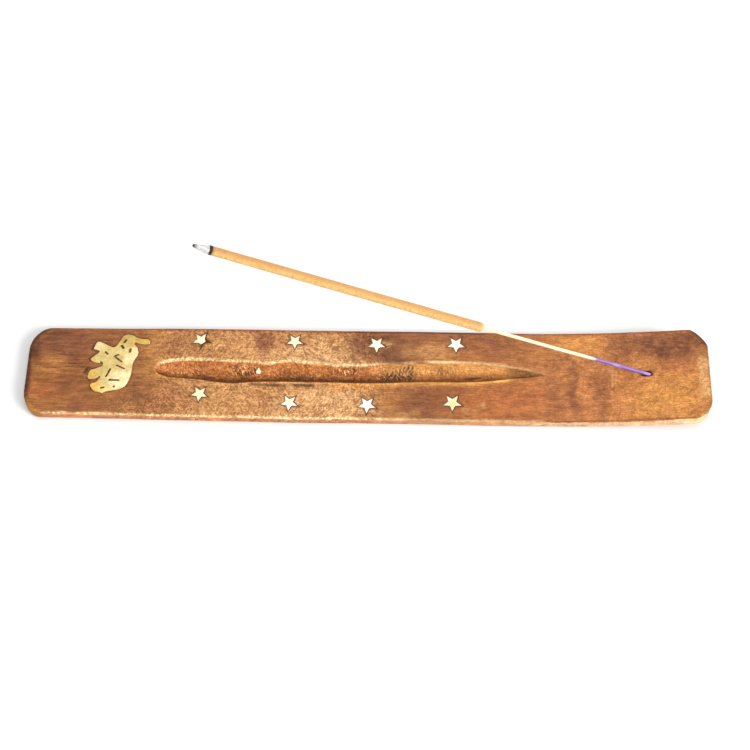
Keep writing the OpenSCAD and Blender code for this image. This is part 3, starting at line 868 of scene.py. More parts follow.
def stainEdges(colour, x, y, z, upper, deep, near, far):
    # rubbed edges show bare wood; the sides were never stained as deeply as the top, and the near side is
    # made paler with painted light from the front as well, most towards the curled end
    rubbed = np.clip(0.92 + 0.25 * lattice(x, y, 2.2, 121) + 0.2 * lattice(x, y, 0.8, 122), 0, 1.2)
    dotted = np.clip(0.8 + 0.9 * lattice(x, y, 0.9, 123) * smoothStep((-90 - x) / 8), 0, 1.3)
    edge = np.where(y < 0, y + edgeOf(x, 0), edgeOf(x, 1) - y)
    nearLine = bell(edge - 0.08, 0.45) * (y < 0) * upper
    paint(colour, ("cream", nearLine * through(wear["nearEdge"], x) * rubbed * dotted * 1.25))
    for name, tint, at in (("farArris", "cream", far + 0.38), ("nearArris", "amber", near - 0.35)):
        line = bell(y - at, 0.56) * (deep < 0.6) * upper
        paint(colour, (tint, line * through(wear[name], x) * rubbed))
    glow = bell(y - near + 0.9, 0.8) * smoothStep((x + 14) / 8) * smoothStep((48 - x) / 6) * (deep < 0.1)
    side = smoothStep((0.3 - edge) / 0.25) * (z < deck - 0.8 + arcRise(x, plank["topRise"]))
    darkLine = bell(edge - 0.25, 0.3) * (y < 0) * upper * smoothStep((x - 58) / 15)
    sideNear = side * (y < 0)
    soot = bell(edge - 0.2, 0.75) * (y > 0)
    paint(colour,
          ("gold", glow * upper * 0.75),
          ("toast", darkLine * 0.6),
          # painted light: the near side is paler, partly bare wood and partly light from the front
          ("side", sideNear),
          ("sideWarm", sideNear * smoothStep((x + 60) / 50)),
          ("sideBareAndLit", sideNear * through(wear["sidePale"], x) * rubbed),
          ("red", side * (y > 0) * 0.8),
          ("red", bell(edge - 0.8, 0.7) * (y > 0) * 0.75),
          ("toast", soot * 0.6),
          ("soot", soot * smoothStep((x + 14) / 6) * smoothStep((48 - x) / 10) * 0.85))


def stainEnds(colour, x, y):
    # toasted rim of the plain end; dark corner and rubbed rim of the curled end
    fromPlain, fromCurl = plank["length"] / 2 + x, plank["length"] / 2 - x
    inset = insetOf(x, y)
    plainRim = smoothStep((2.5 + 0.6 * lattice(x, y, 3, 131) - inset) / 1.2) * smoothStep((9 - fromPlain) / 5)
    curlRim = smoothStep((2.2 - inset) / 1.4) * smoothStep((8 - fromCurl) / 4) * smoothStep((y - 9) / 4)
    wornRim = bell(inset - 2.6, 1.8) * smoothStep((7 - fromCurl) / 3) * smoothStep((10.5 - np.abs(y + 2)) / 4)
    chipped = smoothStep((lattice(x, y, 0.9, 132) + 0.5 * lattice(x, y, 0.6, 133) + 0.2) / 0.7)
    paint(colour,
          ("toast", plainRim * 0.9),
          ("soot", plainRim * smoothStep((1.8 - inset) / 1.4) * smoothStep((y + 12) / 6) * 0.55),
          ("gold", plainRim * smoothStep((-11 - y) / 3) * 0.7),
          ("soot", curlRim * 0.8),
          ("pale", wornRim * 0.42),
          ("cream", wornRim * 0.32 * chipped),
          ("toast", bell(inset - 0.5, 0.5) * smoothStep((4 - fromCurl) / 2) * 0.5))


def stainPlank(piece, inlaid):
    # paints the plank, and marks where the materials' finer patterns show
    points = pointsOf(piece)
    x, y, z = points.T
    foot = arcRise(x, plank["bottomRise"])
    upper = z > foot + 1.1              # the top, the trough and the upper part of the sides
    near, far = through(trough["nearEdge"], x), through(trough["farEdge"], x)
    colour = np.tile(np.array(stains["brown"]), (len(points), 1))
    stainPatches(colour, x, y)
    deep, torn = stainTrough(colour, x, y, upper, near, far)
    stainEdges(colour, x, y, z, upper, deep, near, far)
    stainEnds(colour, x, y)

    # the mouth of the hole, its rim scorched and its bore darkened with painted shade, and painted shade in
    # the wood round each inlay
    down = (points - mouth) @ along
    fromAxis = np.linalg.norm(points - mouth - down[:, None] * along, axis=1)
    beside = (x > -108) & (x < 40) & upper & (z > recess - 0.01)
    fromInlay = np.zeros(len(points))
    fromInlay[beside] = distanceTo(inlaid, points[beside, :2])
    inlayShade = bell(fromInlay, 0.4 + 0.15 * lattice(x, y, 1.5, 143)) * beside
    paint(colour,
          ("ochre", (np.abs(z - foot) < 0.4) * 0.6),
          # painted shade in the bore, and scorch on the rim round its mouth
          ("soot", smoothStep((1.48 + 0.22 * lattice(x, y, 0.9, 141) - fromAxis) / 0.3)),
          # painted shade: a dark band on the wood close round each inlay
          ("shade", inlayShade * (0.4 + 0.5 * lattice(x, y, 2.6, 144))))

    # curly figure in the middle and in the near corner of the plain end; long streaks at the plain end
    figured = smoothStep((x + 84) / 14) * smoothStep((12 - x) / 16)
    corner = smoothStep((x + 100) / 8) * smoothStep((-8 - y) / 5) * smoothStep((-60 - x) / 10)
    figured = (figured + 0.33 + 0.2 * smoothStep((x - 60) / 30) - 0.1 * smoothStep((-84 - x) / 10)
               + 0.5 * corner)
    streaky = (0.3 + 0.7 * smoothStep((-70 - x) / 20)) * (1 - 0.6 * corner)
    for name, values in (("stain", colour), ("fleck", np.clip(figured, 0, 1)), ("streaky", streaky),
                         ("gouged", deep), ("chipped", torn)):
        putAttribute(piece, name, values)


stainPlank(board, [elephantRing] + [ring for _, _, ring in stars])
print("plank stained")


def add(tree, kind, inputs=(), **settings):
    # a shader node with its settings; an input is a value or another node's socket
    made = tree.nodes.new("ShaderNode" + kind)
    for name, value in settings.items():
        setattr(made, name, value)
    for name, value in dict(inputs).items():
        if isinstance(value, bpy.types.NodeSocket):
            tree.links.new(value, made.inputs[name])
        else:
            made.inputs[name].default_value = value
    return made


def use(tree, group, inputs):
    return add(tree, "Group", inputs, node_tree=group).outputs


def calc(tree, operation, a, b=0.0, c=0.0, clamp=False):
    return add(tree, "Math", {0: a, 1: b, 2: c}, operation=operation, use_clamp=clamp).outputs[0]


def times(tree, a, b):
    return calc(tree, "MULTIPLY", a, b)


def plus(tree, a, b):
    return calc(tree, "ADD", a, b)


def minus(tree, a, b):
    return calc(tree, "SUBTRACT", a, b)


def mix(tree, share, a, b, blend="MIX"):
    # a colour is a socket or three numbers
    a, b = (colour if isinstance(colour, bpy.types.NodeSocket) else (*colour, 1.0) for colour in (a, b))
    return add(tree, "Mix", {0: share, 6: a, 7: b}, data_type="RGBA", blend_type=blend).outputs[2]


def vectors(tree, operation, a, b):
    return add(tree, "VectorMath", {0: a, 1: b}, operation=operation).outputs[0]


def dot(tree, a, b):
    return add(tree, "VectorMath", {0: a, 1: b}, operation="DOT_PRODUCT").outputs["Value"]


def spread(tree, value, low, high, newLow=0.0, newHigh=1.0):
    # low to high becomes newLow to newHigh, held at both ends
    return add(tree, "MapRange", {0: value, 1: low, 2: high, 3: newLow, 4: newHigh}).outputs[0]


def stretched(tree, vector, scale, turn=0.0):
    # turned about Z first, so that the stretch follows the turned axes
    if turn:
        spun = add(tree, "VectorRotate", {"Vector": vector, "Angle": turn}, rotation_type="Z_AXIS")
        vector = spun.outputs[0]
    return add(tree, "Mapping", {"Vector": vector, "Scale": scale}).outputs[0]


def cloud(tree, vector, scale=1.0, detail=3.0, roughness=0.55, distortion=0.0):
    return add(tree, "TexNoise", {"Vector": vector, "Scale": scale, "Detail": detail, "Roughness": roughness,
                                  "Distortion": distortion}).outputs["Fac"]


def graded(tree, colour, share, low, high):
    # the colour multiplied by one that runs from low to high
    return mix(tree, 1.0, colour, mix(tree, share, low, high), "MULTIPLY")


def tinted(tree, colour, mask, strength, tint):
    # the colour moved towards a tint where the mask is 1
    return mix(tree, times(tree, mask, strength), colour, tint)


def attribute(tree, name, output="Fac"):
    return add(tree, "Attribute", attribute_name=name).outputs[output]


def millimetres(tree):
    place = add(tree, "TexCoord").outputs["Object"]
    return add(tree, "VectorMath", {0: place, 3: 1000.0}, operation="SCALE").outputs[0]


def newGroup(name, inputs, outputs):
    # a shader node group that takes a Vector and the other inputs, and gives out numbers
    group = bpy.data.node_groups.new(name, "ShaderNodeTree")
    group.interface.new_socket("Vector", in_out="INPUT", socket_type="NodeSocketVector")
    for label, kind, value in inputs:
        socket = group.interface.new_socket(label, in_out="INPUT", socket_type="NodeSocket" + kind)
        socket.default_value = value
    for label in outputs:
        group.interface.new_socket(label, in_out="OUTPUT", socket_type="NodeSocketFloat")
    return group, group.nodes.new("NodeGroupInput").outputs, group.nodes.new("NodeGroupOutput").inputs


def makeFibres():
    # long streaks along the pattern's X: noise squeezed by Length along it and by Width across
    group, given, out = newGroup("fibres", [("Length", "Float", 10.0), ("Width", "Float", 1.0),
                                            ("Waves", "Float", 0.4)], ("Streaks", "Threads"))
    lengthways, crossways = (calc(group, "DIVIDE", 1.0, given[size]) for size in ("Length", "Width"))
    squeeze = add(group, "CombineXYZ", {"X": lengthways, "Y": crossways, "Z": crossways}).outputs[0]
    place = vectors(group, "MULTIPLY", given["Vector"], squeeze)
    broad = cloud(group, place, 1.0, 4.0, 0.6, given["Waves"])
    fine = cloud(group, place, 3.4, 2.0, 0.6)
    group.links.new(spread(group, broad, 0.3, 0.7), out["Streaks"])
    group.links.new(spread(group, fine, 0.3, 0.7), out["Threads"])
    return group


def makeFineLine():
    # mask of a line between two points: 1 where the distance to it is under half its width, with a ragged rim
    group, given, out = newGroup("fine_line", [("From", "Vector", (0, 0, 0)), ("To", "Vector", (1, 0, 0)),
                                               ("Width", "Float", 0.5)], ("Mask",))
    flat = vectors(group, "MULTIPLY", given["Vector"], (1, 1, 0))
    run = vectors(group, "SUBTRACT", given["To"], given["From"])
    offset = vectors(group, "SUBTRACT", flat, given["From"])
    share = calc(group, "DIVIDE", dot(group, offset, run), dot(group, run, run), clamp=True)
    back = add(group, "VectorMath", {0: run, 3: share}, operation="SCALE").outputs[0]
    away = vectors(group, "SUBTRACT", offset, back)
    distance = add(group, "VectorMath", {0: away}, operation="LENGTH").outputs["Value"]
    wander = cloud(group, given["Vector"], 1.3, 3.0)
    distance = plus(group, distance, times(group, minus(group, wander, 0.5), 0.8))
    distance = calc(group, "DIVIDE", distance, given["Width"])
    group.links.new(spread(group, distance, 0.8, 0.3), out["Mask"])
    return group


def makeSpeckle():
    # dust and grains: coarse and fine noise, and a mask of scattered specks
    group, given, out = newGroup("speckle", [("Size", "Float", 1.0), ("Sparse", "Float", 0.62)],
                                 ("Coarse", "Fine", "Specks"))
    inverse = calc(group, "DIVIDE", 1.0, given["Size"])
    coarse = cloud(group, given["Vector"], inverse, 3.0, 0.6)
    fine = cloud(group, given["Vector"], times(group, inverse, 4.5), 2.0, 0.7)
    specks = minus(group, fine, given["Sparse"])
    group.links.new(spread(group, coarse, 0.3, 0.7), out["Coarse"])
    group.links.new(spread(group, fine, 0.3, 0.7), out["Fine"])
    group.links.new(spread(group, specks, 0.0, 0.05), out["Specks"])
    return group


def makeFiled():
    # hand-filed sheet metal: fine scratches in two directions and a soft cloudy tarnish
    group, given, out = newGroup("filed_sheet", [("Scratch Turn", "Vector", (0, 0, 0.5)),
                                                 ("Tarnish Size", "Float", 3.0)],
                                 ("Scratches", "Tarnish", "Dents"))
    turnedOnce = add(group, "VectorRotate", {"Vector": given["Vector"], "Rotation": given["Scratch Turn"]},
                     rotation_type="EULER_XYZ").outputs[0]
    one = cloud(group, stretched(group, turnedOnce, (0.5, 9, 9)), 1.0, 3.0, 0.7)
    two = cloud(group, stretched(group, given["Vector"], (7, 0.6, 7), 0.3), 1.0, 2.0, 0.7)
    scratches = plus(group, times(group, one, 0.6), times(group, two, 0.4))
    group.links.new(spread(group, scratches, 0.36, 0.64), out["Scratches"])
    tarnish = cloud(group, given["Vector"], calc(group, "DIVIDE", 1.0, given["Tarnish Size"]), 4.0, 0.6, 0.6)
    group.links.new(spread(group, tarnish, 0.32, 0.68), out["Tarnish"])
    group.links.new(cloud(group, given["Vector"], 0.55, 2.0), out["Dents"])
    return group


fibres, fineLine, speckle, filedSheet = makeFibres(), makeFineLine(), makeSpeckle(), makeFiled()


def newMaterial(name, **constants):
    made = bpy.data.materials.new(name)
    made.use_nodes = True
    tree = made.node_tree
    tree.nodes.clear()
    inputs = {label.replace("_", " "): value for label, value in constants.items()}
    shader = add(tree, "BsdfPrincipled", inputs)
    add(tree, "OutputMaterial", {"Surface": shader.outputs["BSDF"]})
    return made, tree, shader


def finished(made, shader, colour, roughness, height=None, depth=0.0):
    # wires up a material; a height from 0 to 1 stands for that depth in metres
    wires = {"Base Color": colour, "Roughness": roughness}
    if height is not None:
        wires["Normal"] = add(made.node_tree, "Bump", {"Height": height, "Distance": depth}).outputs[0]
    for label, socket in wires.items():
        made.node_tree.links.new(socket, shader.inputs[label])
    return made


lines = [   # depth of colour, from, to, width: cracks are dark, scratches are pale; the dark lines in the splinter's grooves are painted shade and those along the elephant's left edge are painted shadow
    # painted shade in the splinter's two grooves
    (0.5, (-43, -4.9), (-30.5, -5.3), 1.15), (0.6, (-27, -4.9), (-19.8, -5.1), 1.1),
    (-0.5, (-33, -4.1), (-22, -4.15), 0.5), (0.75, (-113, 1.5), (-107.5, 1.6), 0.3),
    (0.7, (-112, 2.9), (-109, 2.6), 0.3), (0.55, (-107.5, 1.6), (-103.5, 1.0), 0.35),
    (0.25, (69.9, -18), (69.6, -6), 0.3), (0.5, (67.5, 4.7), (67.7, 5.0), 0.6),
    (-0.25, (91.5, -4.5), (91.9, 2.4), 0.6), (-0.2, (92.8, -4.2), (93.1, 1.6), 0.5),
    # the first two here are painted shadow along the elephant's left edge
    (0.9, (-105.6, -1.1), (-104.8, 0.2), 0.8), (0.8, (-105.2, 0.6), (-103.8, 1.0), 0.6),
    (0.4, (-60, 9.8), (-58.4, 8.6), 0.35), (0.55, (54, 0.1), (64.5, 0.3), 0.4),
    (-0.45, (7.4, 12.6), (9.4, 13.0), 0.5), (-0.4, (7.2, 11.4), (9.0, 11.9), 0.4),
    (0.4, (-86.6, -5), (-86.2, -11), 0.35), (0.45, (-76, -3.2), (-64, -3.6), 0.2),
    # painted shadow along the elephant's left edge
    (0.9, (-103.2, 10.6), (-103.7, 8.5), 0.4), (0.75, (-104.5, 4.9), (-103.9, 3.9), 0.45),
    (0.9, (-104.3, -3.4), (-103.1, -4.8), 0.45), (0.7, (-104.6, -0.2), (-104.9, -1.6), 0.5),
]


def makeWood():
    made, tree, shader = newMaterial("stained_wood", Specular_IOR_Level=0.2)
    place = millimetres(tree)
    stain = attribute(tree, "stain", "Color")
    names = ("fleck", "gouged", "streaky", "chipped")
    figured, gouged, streaky, torn = (attribute(tree, name) for name in names)
    grain = use(tree, fibres, {"Vector": place, "Length": 11.0, "Width": 1.15, "Waves": 0.5})
    hair = use(tree, fibres, {"Vector": place, "Length": 3.2, "Width": 0.42, "Waves": 0.2})
    streaked = graded(tree, stain, grain["Streaks"], (0.68, 0.62, 0.56), (1.20, 1.21, 1.19))
    colour = mix(tree, streaky, stain, streaked)
    colour = graded(tree, colour, hair["Streaks"], (0.73, 0.67, 0.61), (1.28, 1.30, 1.33))
    blotch = cloud(tree, stretched(tree, place, (0.16, 0.3, 0.3)), 1.0, 4.0, 0.62, 0.6)
    blotch = spread(tree, blotch, 0.3, 0.7)
    colour = graded(tree, colour, blotch, (0.76, 0.70, 0.66), (1.2, 1.22, 1.24))
    rising, falling = (cloud(tree, stretched(tree, place, (0.62, 1.35, 0.9), turn), 1.0, 1.0, 0.5, 1.1)
                       for turn in (0.85, -1.0))
    either = spread(tree, cloud(tree, place, 0.14, 1.0), 0.44, 0.56)
    curly = plus(tree, times(tree, rising, either), times(tree, falling, minus(tree, 1.0, either)))
    curly = spread(tree, curly, 0.42, 0.58)
    flecked = graded(tree, colour, curly, (0.60, 0.48, 0.37), (1.34, 1.42, 1.58))
    colour = mix(tree, times(tree, figured, 0.75), colour, flecked)
    rungs = cloud(tree, stretched(tree, place, (1.3, 0.3, 0.5), -0.3), 1.0, 3.0, 0.6, 0.8)
    rungs = spread(tree, rungs, 0.36, 0.64)
    ribbed = graded(tree, colour, rungs, (0.60, 0.50, 0.40), (1.28, 1.26, 1.22))
    colour = mix(tree, times(tree, gouged, 0.38), colour, ribbed)
    strokes = cloud(tree, stretched(tree, place, (1.9, 0.75, 0.9), -0.5), 1.0, 2.0, 0.6, 0.5)
    colour = tinted(tree, colour, torn, spread(tree, strokes, 0.50, 0.40), (0.10, 0.035, 0.012))
    colour = tinted(tree, colour, torn, spread(tree, strokes, 0.57, 0.66), (0.85, 0.56, 0.26))
    pores = cloud(tree, stretched(tree, place, (0.55, 3.4, 3.4)), 1.0, 2.0, 0.5)
    pores = spread(tree, pores, 0.58, 0.70)
    colour = tinted(tree, colour, pores, 0.5, (0.10, 0.037, 0.014))
    height = plus(tree, times(tree, hair["Streaks"], 0.35), times(tree, curly, 0.25))
    height = plus(tree, height, times(tree, rungs, times(tree, gouged, 0.9)))
    height = minus(tree, height, times(tree, pores, 0.35))
    # the dark lines include painted shade and painted shadow
    for depth, start, end, width in lines:
        mark = {"Vector": place, "From": (*start, 0), "To": (*end, 0), "Width": width}
        mask = times(tree, use(tree, fineLine, mark)["Mask"], abs(depth))
        colour = mix(tree, mask, colour, (0.075, 0.028, 0.012) if depth > 0 else (0.78, 0.46, 0.20))
        height = minus(tree, height, times(tree, mask, 0.8))
    roughness = spread(tree, plus(tree, grain["Threads"], curly), 0.4, 1.6, 0.42, 0.6)
    return finished(made, shader, colour, roughness, height, 0.00009)


def makeBrass(name, pale, deep, share, turn, blotches=2.6, dull=0.30):
    made, tree, shader = newMaterial(name, Metallic=1.0)
    place = millimetres(tree)
    filed = use(tree, filedSheet, {"Vector": place, "Scratch Turn": turn, "Tarnish Size": blotches})
    tone = attribute(tree, "tone", "Color")
    colour = mix(tree, times(tree, filed["Tarnish"], share), pale, deep)
    colour = mix(tree, 1.0, colour, tone, "MULTIPLY")
    colour = graded(tree, colour, filed["Scratches"], (0.93, 0.92, 0.9), (1.03, 1.03, 1.03))
    height = plus(tree, times(tree, filed["Scratches"], 0.3), filed["Dents"])
    roughness = spread(tree, filed["Scratches"], 0.0, 1.0, dull, dull + 0.14)
    return finished(made, shader, colour, roughness, height, 0.00005)


def makeLac():
    made, tree, shader = newMaterial("dark_lac", Specular_IOR_Level=0.2)
    dust = use(tree, speckle, {"Vector": millimetres(tree), "Size": 0.5, "Sparse": 0.6})
    shadowSide = attribute(tree, "shadowSide")
    pale = mix(tree, dust["Fine"], (0.22, 0.080, 0.032), (0.40, 0.175, 0.068))
    colour = mix(tree, dust["Coarse"], (0.030, 0.011, 0.007), (0.12, 0.042, 0.020))
    # painted shadow: the lac is dark on its shadow side and in the slots, paler brown elsewhere
    colour = mix(tree, shadowSide, pale, colour)
    return finished(made, shader, colour, spread(tree, dust["Fine"], 0, 1, 0.6, 0.8), dust["Coarse"], 0.00006)


def stickPlace(tree):
    # millimetres from the hole's mouth, turned so that X runs up the stick
    place = vectors(tree, "SUBTRACT", millimetres(tree), tuple(mouth))
    reach, rise = dot(tree, place, tuple(along)), dot(tree, place, tuple(upward))
    sideways = add(tree, "SeparateXYZ", {0: place}).outputs["Y"]
    return add(tree, "CombineXYZ", {"X": reach, "Y": sideways, "Z": rise}).outputs[0], reach, rise


def makeBambooSkin():
    made, tree, shader = newMaterial("split_bamboo")
    place, reach, rise = stickPlace(tree)
    fine = use(tree, fibres, {"Vector": place, "Length": 16.0, "Width": 0.3, "Waves": 0.2})
    colour = mix(tree, fine["Streaks"], (0.80, 0.62, 0.34), (0.93, 0.84, 0.62))
    colour = tinted(tree, colour, fine["Threads"], 0.2, (0.70, 0.52, 0.28))
    patchy = cloud(tree, stretched(tree, place, (0.35, 1.2, 1.2)), 1.0, 3.0)
    level = plus(tree, reach, times(tree, minus(tree, patchy, 0.5), 7.0))
    dyed = spread(tree, level, 26.2, 22.8)
    worn = times(tree, spread(tree, calc(tree, "ABSOLUTE", minus(tree, level, 13.8)), 2.4, 0.4), 0.55)
    dye = mix(tree, fine["Streaks"], (0.075, 0.019, 0.21), (0.22, 0.085, 0.47))
    # painted highlight: the dye is also paled along the top of the stick; the rest of this paling is
    # rubbed-off dye
    worn = calc(tree, "MAXIMUM", worn, spread(tree, rise, 0.2, 0.62, 0.0, 0.22))
    worn = calc(tree, "MAXIMUM", worn, spread(tree, level, 3.2, 1.4, 0.0, 0.6))
    dye = mix(tree, worn, dye, (0.47, 0.32, 0.76))
    colour = mix(tree, times(tree, dyed, 0.96), colour, dye)
    return finished(made, shader, colour, spread(tree, fine["Threads"], 0, 1, 0.45, 0.62),
                    fine["Streaks"], 0.00005)


def makePaste():
    made, tree, shader = newMaterial("incense_paste")
    place, reach, rise = stickPlace(tree)
    grains = use(tree, speckle, {"Vector": place, "Size": 0.9, "Sparse": 0.64})
    rolled = use(tree, fibres, {"Vector": place, "Length": 6.0, "Width": 0.8, "Waves": 0.3})
    colour = mix(tree, grains["Coarse"], (0.52, 0.235, 0.048), (0.99, 0.62, 0.24))
    colour = tinted(tree, colour, rolled["Streaks"], 0.35, (0.97, 0.68, 0.32))
    colour = tinted(tree, colour, rolled["Threads"], 0.35, (0.62, 0.30, 0.07))
    colour = tinted(tree, colour, grains["Specks"], 0.7, (0.42, 0.18, 0.05))
    # painted shade: the upper side of the coating is darkened
    crown = spread(tree, plus(tree, rise, times(tree, grains["Coarse"], 0.3)), 1.05, 1.7)
    colour = tinted(tree, colour, crown, 0.6, (0.46, 0.20, 0.055))
    toasted = spread(tree, plus(tree, reach, grains["Coarse"]), coatEnd - 0.5, coatEnd + 0.6)
    colour = tinted(tree, colour, toasted, 0.8, (0.09, 0.035, 0.015))
    pressed = spread(tree, reach, coatStart + 2.6, coatStart + 0.2)
    colour = tinted(tree, colour, pressed, 0.45, (0.93, 0.72, 0.40))
    height = plus(tree, grains["Fine"], times(tree, grains["Coarse"], 0.6))
    return finished(made, shader, colour, spread(tree, grains["Fine"], 0, 1, 0.72, 0.9), height, 0.00012)


def makeBurnt():
    made, tree, shader = newMaterial("charred_paste")
    grains = use(tree, speckle, {"Vector": stickPlace(tree)[0], "Size": 0.5, "Sparse": 0.6})
    colour = mix(tree, grains["Coarse"], (0.010, 0.007, 0.006), (0.055, 0.030, 0.020))
    colour = tinted(tree, colour, grains["Specks"], 0.35, (0.32, 0.30, 0.28))
    return finished(made, shader, colour, spread(tree, grains["Fine"], 0, 1, 0.8, 0.95),
                    grains["Fine"], 0.0002)


def makeAshDust():
    made, tree, shader = newMaterial("incense_ash")
    place, reach, _ = stickPlace(tree)
    flakes = use(tree, speckle, {"Vector": place, "Size": 0.75, "Sparse": 0.60})
    colour = mix(tree, flakes["Coarse"], (0.56, 0.55, 0.55), (0.94, 0.94, 0.94))
    colour = tinted(tree, colour, flakes["Specks"], 0.7, (0.26, 0.20, 0.17))
    tipShade = spread(tree, plus(tree, reach, flakes["Coarse"]), ashEnd - 1.4, ashEnd - 0.2)
    colour = tinted(tree, colour, tipShade, 0.95, (0.055, 0.030, 0.022))
    footShade = spread(tree, plus(tree, reach, flakes["Coarse"]), ashStart + 0.7, ashStart + 0.2)
    colour = tinted(tree, colour, footShade, 0.5, (0.16, 0.13, 0.12))
    height = plus(tree, flakes["Coarse"], times(tree, flakes["Fine"], 0.5))
    return finished(made, shader, colour, spread(tree, flakes["Fine"], 0, 1, 0.85, 1.0), height, 0.00025)


brassTonesAndReflections = [      # x, y, reach, strength and colour of a tone on the elephant; tones that lift it towards white are painted reflections
    (-102.5, -2, 2.6, 0.85, (1.05, 0.80, 0.42)), (-101, -6.8, 2.6, 0.8, (1.35, 1.0, 0.60)),
    (-103, 4.6, 2.2, 0.4, (1.1, 1.05, 0.8)), (-91, 13.8, 3.6, 0.7, (0.80, 0.70, 0.42)),
    (-85, 12.6, 3.4, 0.75, (1.0, 0.80, 0.40)), (-91, -4, 5.2, 0.9, (1.5, 1.62, 2.3)),
    (-88, 6, 3.8, 0.85, (1.45, 1.55, 2.1)), (-101.5, 11, 3.2, 0.75, (1.36, 1.45, 2.0)),
    (-97.5, -9.2, 2.6, 0.75, (1.48, 1.55, 1.6)), (-96, 3, 4.6, 0.45, (1.0, 1.0, 1.0)),
    (-93, 9, 2.6, 0.4, (1.15, 1.2, 1.2)),
]


def toneBrass(piece, tones, rings):
    # tones in blobs, partly the brass's own tone and partly painted reflection, and a thin darker line where
    # lac has stained the rim
    points = pointsOf(piece)
    x, y = points[:, 0], points[:, 1]
    colour = np.ones((len(points), 3))
    for px, py, reach, strength, tone in tones:
        away = np.hypot(x - px, y - py) / reach + 0.25 * lattice(x, y, 1.8, 151)
        cover = strength * smoothStep(1.35 - away)
        colour = colour + (np.array(tone) - colour) * cover[:, None]
    rim = bell(distanceTo(rings, points[:, :2]), 0.16)
    colour = colour * (1 - 0.25 * rim[:, None])
    putAttribute(piece, "tone", colour)


# tones on the stars: those that lift the brass towards white are painted reflections
starTonesAndReflections = [
    (3.7, 12.7, 5, 0.8, (1.1, 1.16, 1.35)), (33.6, 13.2, 5, 0.9, (1.12, 1.18, 1.45)),
    (-28.4, -12.4, 5, 0.8, (1.1, 1.16, 1.4)), (0.5, -12.9, 5, 1.0, (1.12, 1.2, 1.5)),
    (32.1, -11.4, 5, 0.6, (1.08, 1.12, 1.2)), (32.3, -11.6, 1.8, 0.75, (1.0, 0.92, 0.62)),
]
toneBrass(elephantBrass, brassTonesAndReflections, [elephantRing])
for brass, _, ring in stars:
    toneBrass(brass, starTonesAndReflections, [ring])
toneBrass(tip, [], [elephantRing])      # it lies too far from any socket to have a stained rim

wood, lac, skin = makeWood(), makeLac(), makeBambooSkin()
elephantSheet = makeBrass("brass_elephant", (0.70, 0.56, 0.25), (0.50, 0.35, 0.10), 0.9, (0, 0, 0.6), 1.7)
# painted highlight: the broken point's brass is made near white, paler than the stars it broke from, so that
# it shows as bright as a glint
tipSheet = makeBrass("brass_tip", (0.97, 0.96, 0.84), (0.94, 0.91, 0.70), 0.6, (0, 0, 0.3), 0.8, 0.7)
starSheet = makeBrass("brass_star", (0.82, 0.80, 0.58), (0.77, 0.70, 0.40), 0.7, (0, 0, 1.1))
paste, burnt, dust = makePaste(), makeBurnt(), makeAshDust()
print("materials mixed")


def settle(piece, body, slotName, material, *nodes):
    piece.data.materials.append(material)
    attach(piece, body)
    if nodes:
        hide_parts(*nodes)


settle(board, "holder", "wood", wood, "board")
settle(elephantBrass, "holder", "brass", elephantSheet, "elephant_inlay")
settle(elephantLac, "holder", "lac", lac, "elephant_bedding")
for i, (brass, bed, _) in enumerate(stars, 1):
    settle(brass, "holder", "brass", starSheet, f"star_inlay_{i}")
    settle(bed, "holder", "lac", lac, f"star_bedding_{i}")
settle(tip, "holder", "brass", tipSheet)
settle(bamboo, "stick", "bamboo", skin, "bamboo_core")
settle(incense, "stick", "incense", paste, "incense_coating")
settle(char, "stick", "char", burnt, "char_ring")
settle(ash, "stick", "ash", dust, "ash_tip")
print("pieces settled")


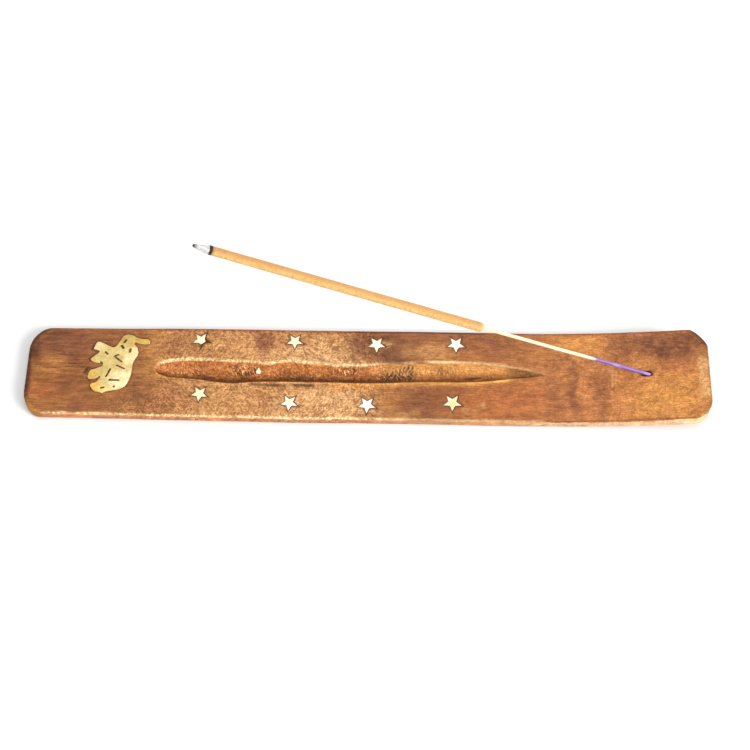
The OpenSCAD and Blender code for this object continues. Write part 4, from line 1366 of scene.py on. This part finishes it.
def makeTable():
    floor = bpy.data.meshes.new("table_top")
    half = 5.0
    corners = [(-half, -half, 0), (half, -half, 0), (half, half, 0), (-half, half, 0)]
    floor.from_pydata(corners, [], [(0, 1, 2, 3)])
    top = bpy.data.objects.new("table_top", floor)
    scene.collection.objects.link(top)
    made, tree, shader = newMaterial("white_paper")
    faint = cloud(tree, millimetres(tree), 0.02, 3.0)
    finished(made, shader, mix(tree, faint, (0.90, 0.90, 0.90), (0.93, 0.93, 0.93)),
             spread(tree, faint, 0, 1, 0.85, 0.95))
    floor.materials.append(made)


def areaLight(name, place, size, watts, colour, aim=(0, 0, 0)):
    lamp = bpy.data.lights.new(name, "AREA")
    lamp.shape = "RECTANGLE"
    lamp.size, lamp.size_y = size
    lamp.energy = watts
    lamp.color = colour
    holder = bpy.data.objects.new(name, lamp)
    scene.collection.objects.link(holder)
    holder.location = place
    holder.rotation_euler = (Vector(place) - Vector(aim)).to_track_quat("Z", "Y").to_euler()


studio = {
    "surround": 0.68,
    "key": ((1.3, -0.7, 0.85), (0.8, 0.8), 30.0, (1.0, 0.985, 0.96)),
    "back": ((-0.1, 0.55, 1.8), (1.8, 1.6), 9.0, (1.0, 1.0, 1.0)),
}
view = {
    "azimuth": 0.99,         # degrees round from straight in front
    "elevation": 62.0,
    "target": (0.00322, 0.00203, 0.0),
    "distance": 0.602,
    "lens": 76.66,
}


def lightStudio():
    world = bpy.data.worlds.new("white_room")
    scene.world = world
    world.use_nodes = True
    tree = world.node_tree
    tree.nodes.clear()
    glow = add(tree, "Background", {"Color": (1, 1, 1, 1), "Strength": studio["surround"]})
    add(tree, "OutputWorld", {"Surface": glow.outputs[0]})
    areaLight("key_window", *studio["key"])
    areaLight("back_softbox", *studio["back"])
    scene.view_settings.view_transform = "Standard"


def placeCamera():
    a, e = math.radians(view["azimuth"]), math.radians(view["elevation"])
    back = Vector((math.sin(a) * math.cos(e), -math.cos(a) * math.cos(e), math.sin(e)))
    lens = bpy.data.cameras.new("camera")
    lens.lens = view["lens"]
    lens.sensor_width = 36
    lens.clip_start = 0.01
    camera = bpy.data.objects.new("camera", lens)
    scene.collection.objects.link(camera)
    camera.location = Vector(view["target"]) + back * view["distance"]
    camera.rotation_euler = back.to_track_quat("Z", "Y").to_euler()
    scene.camera = camera


makeTable()
lightStudio()
placeCamera()
print("studio ready")
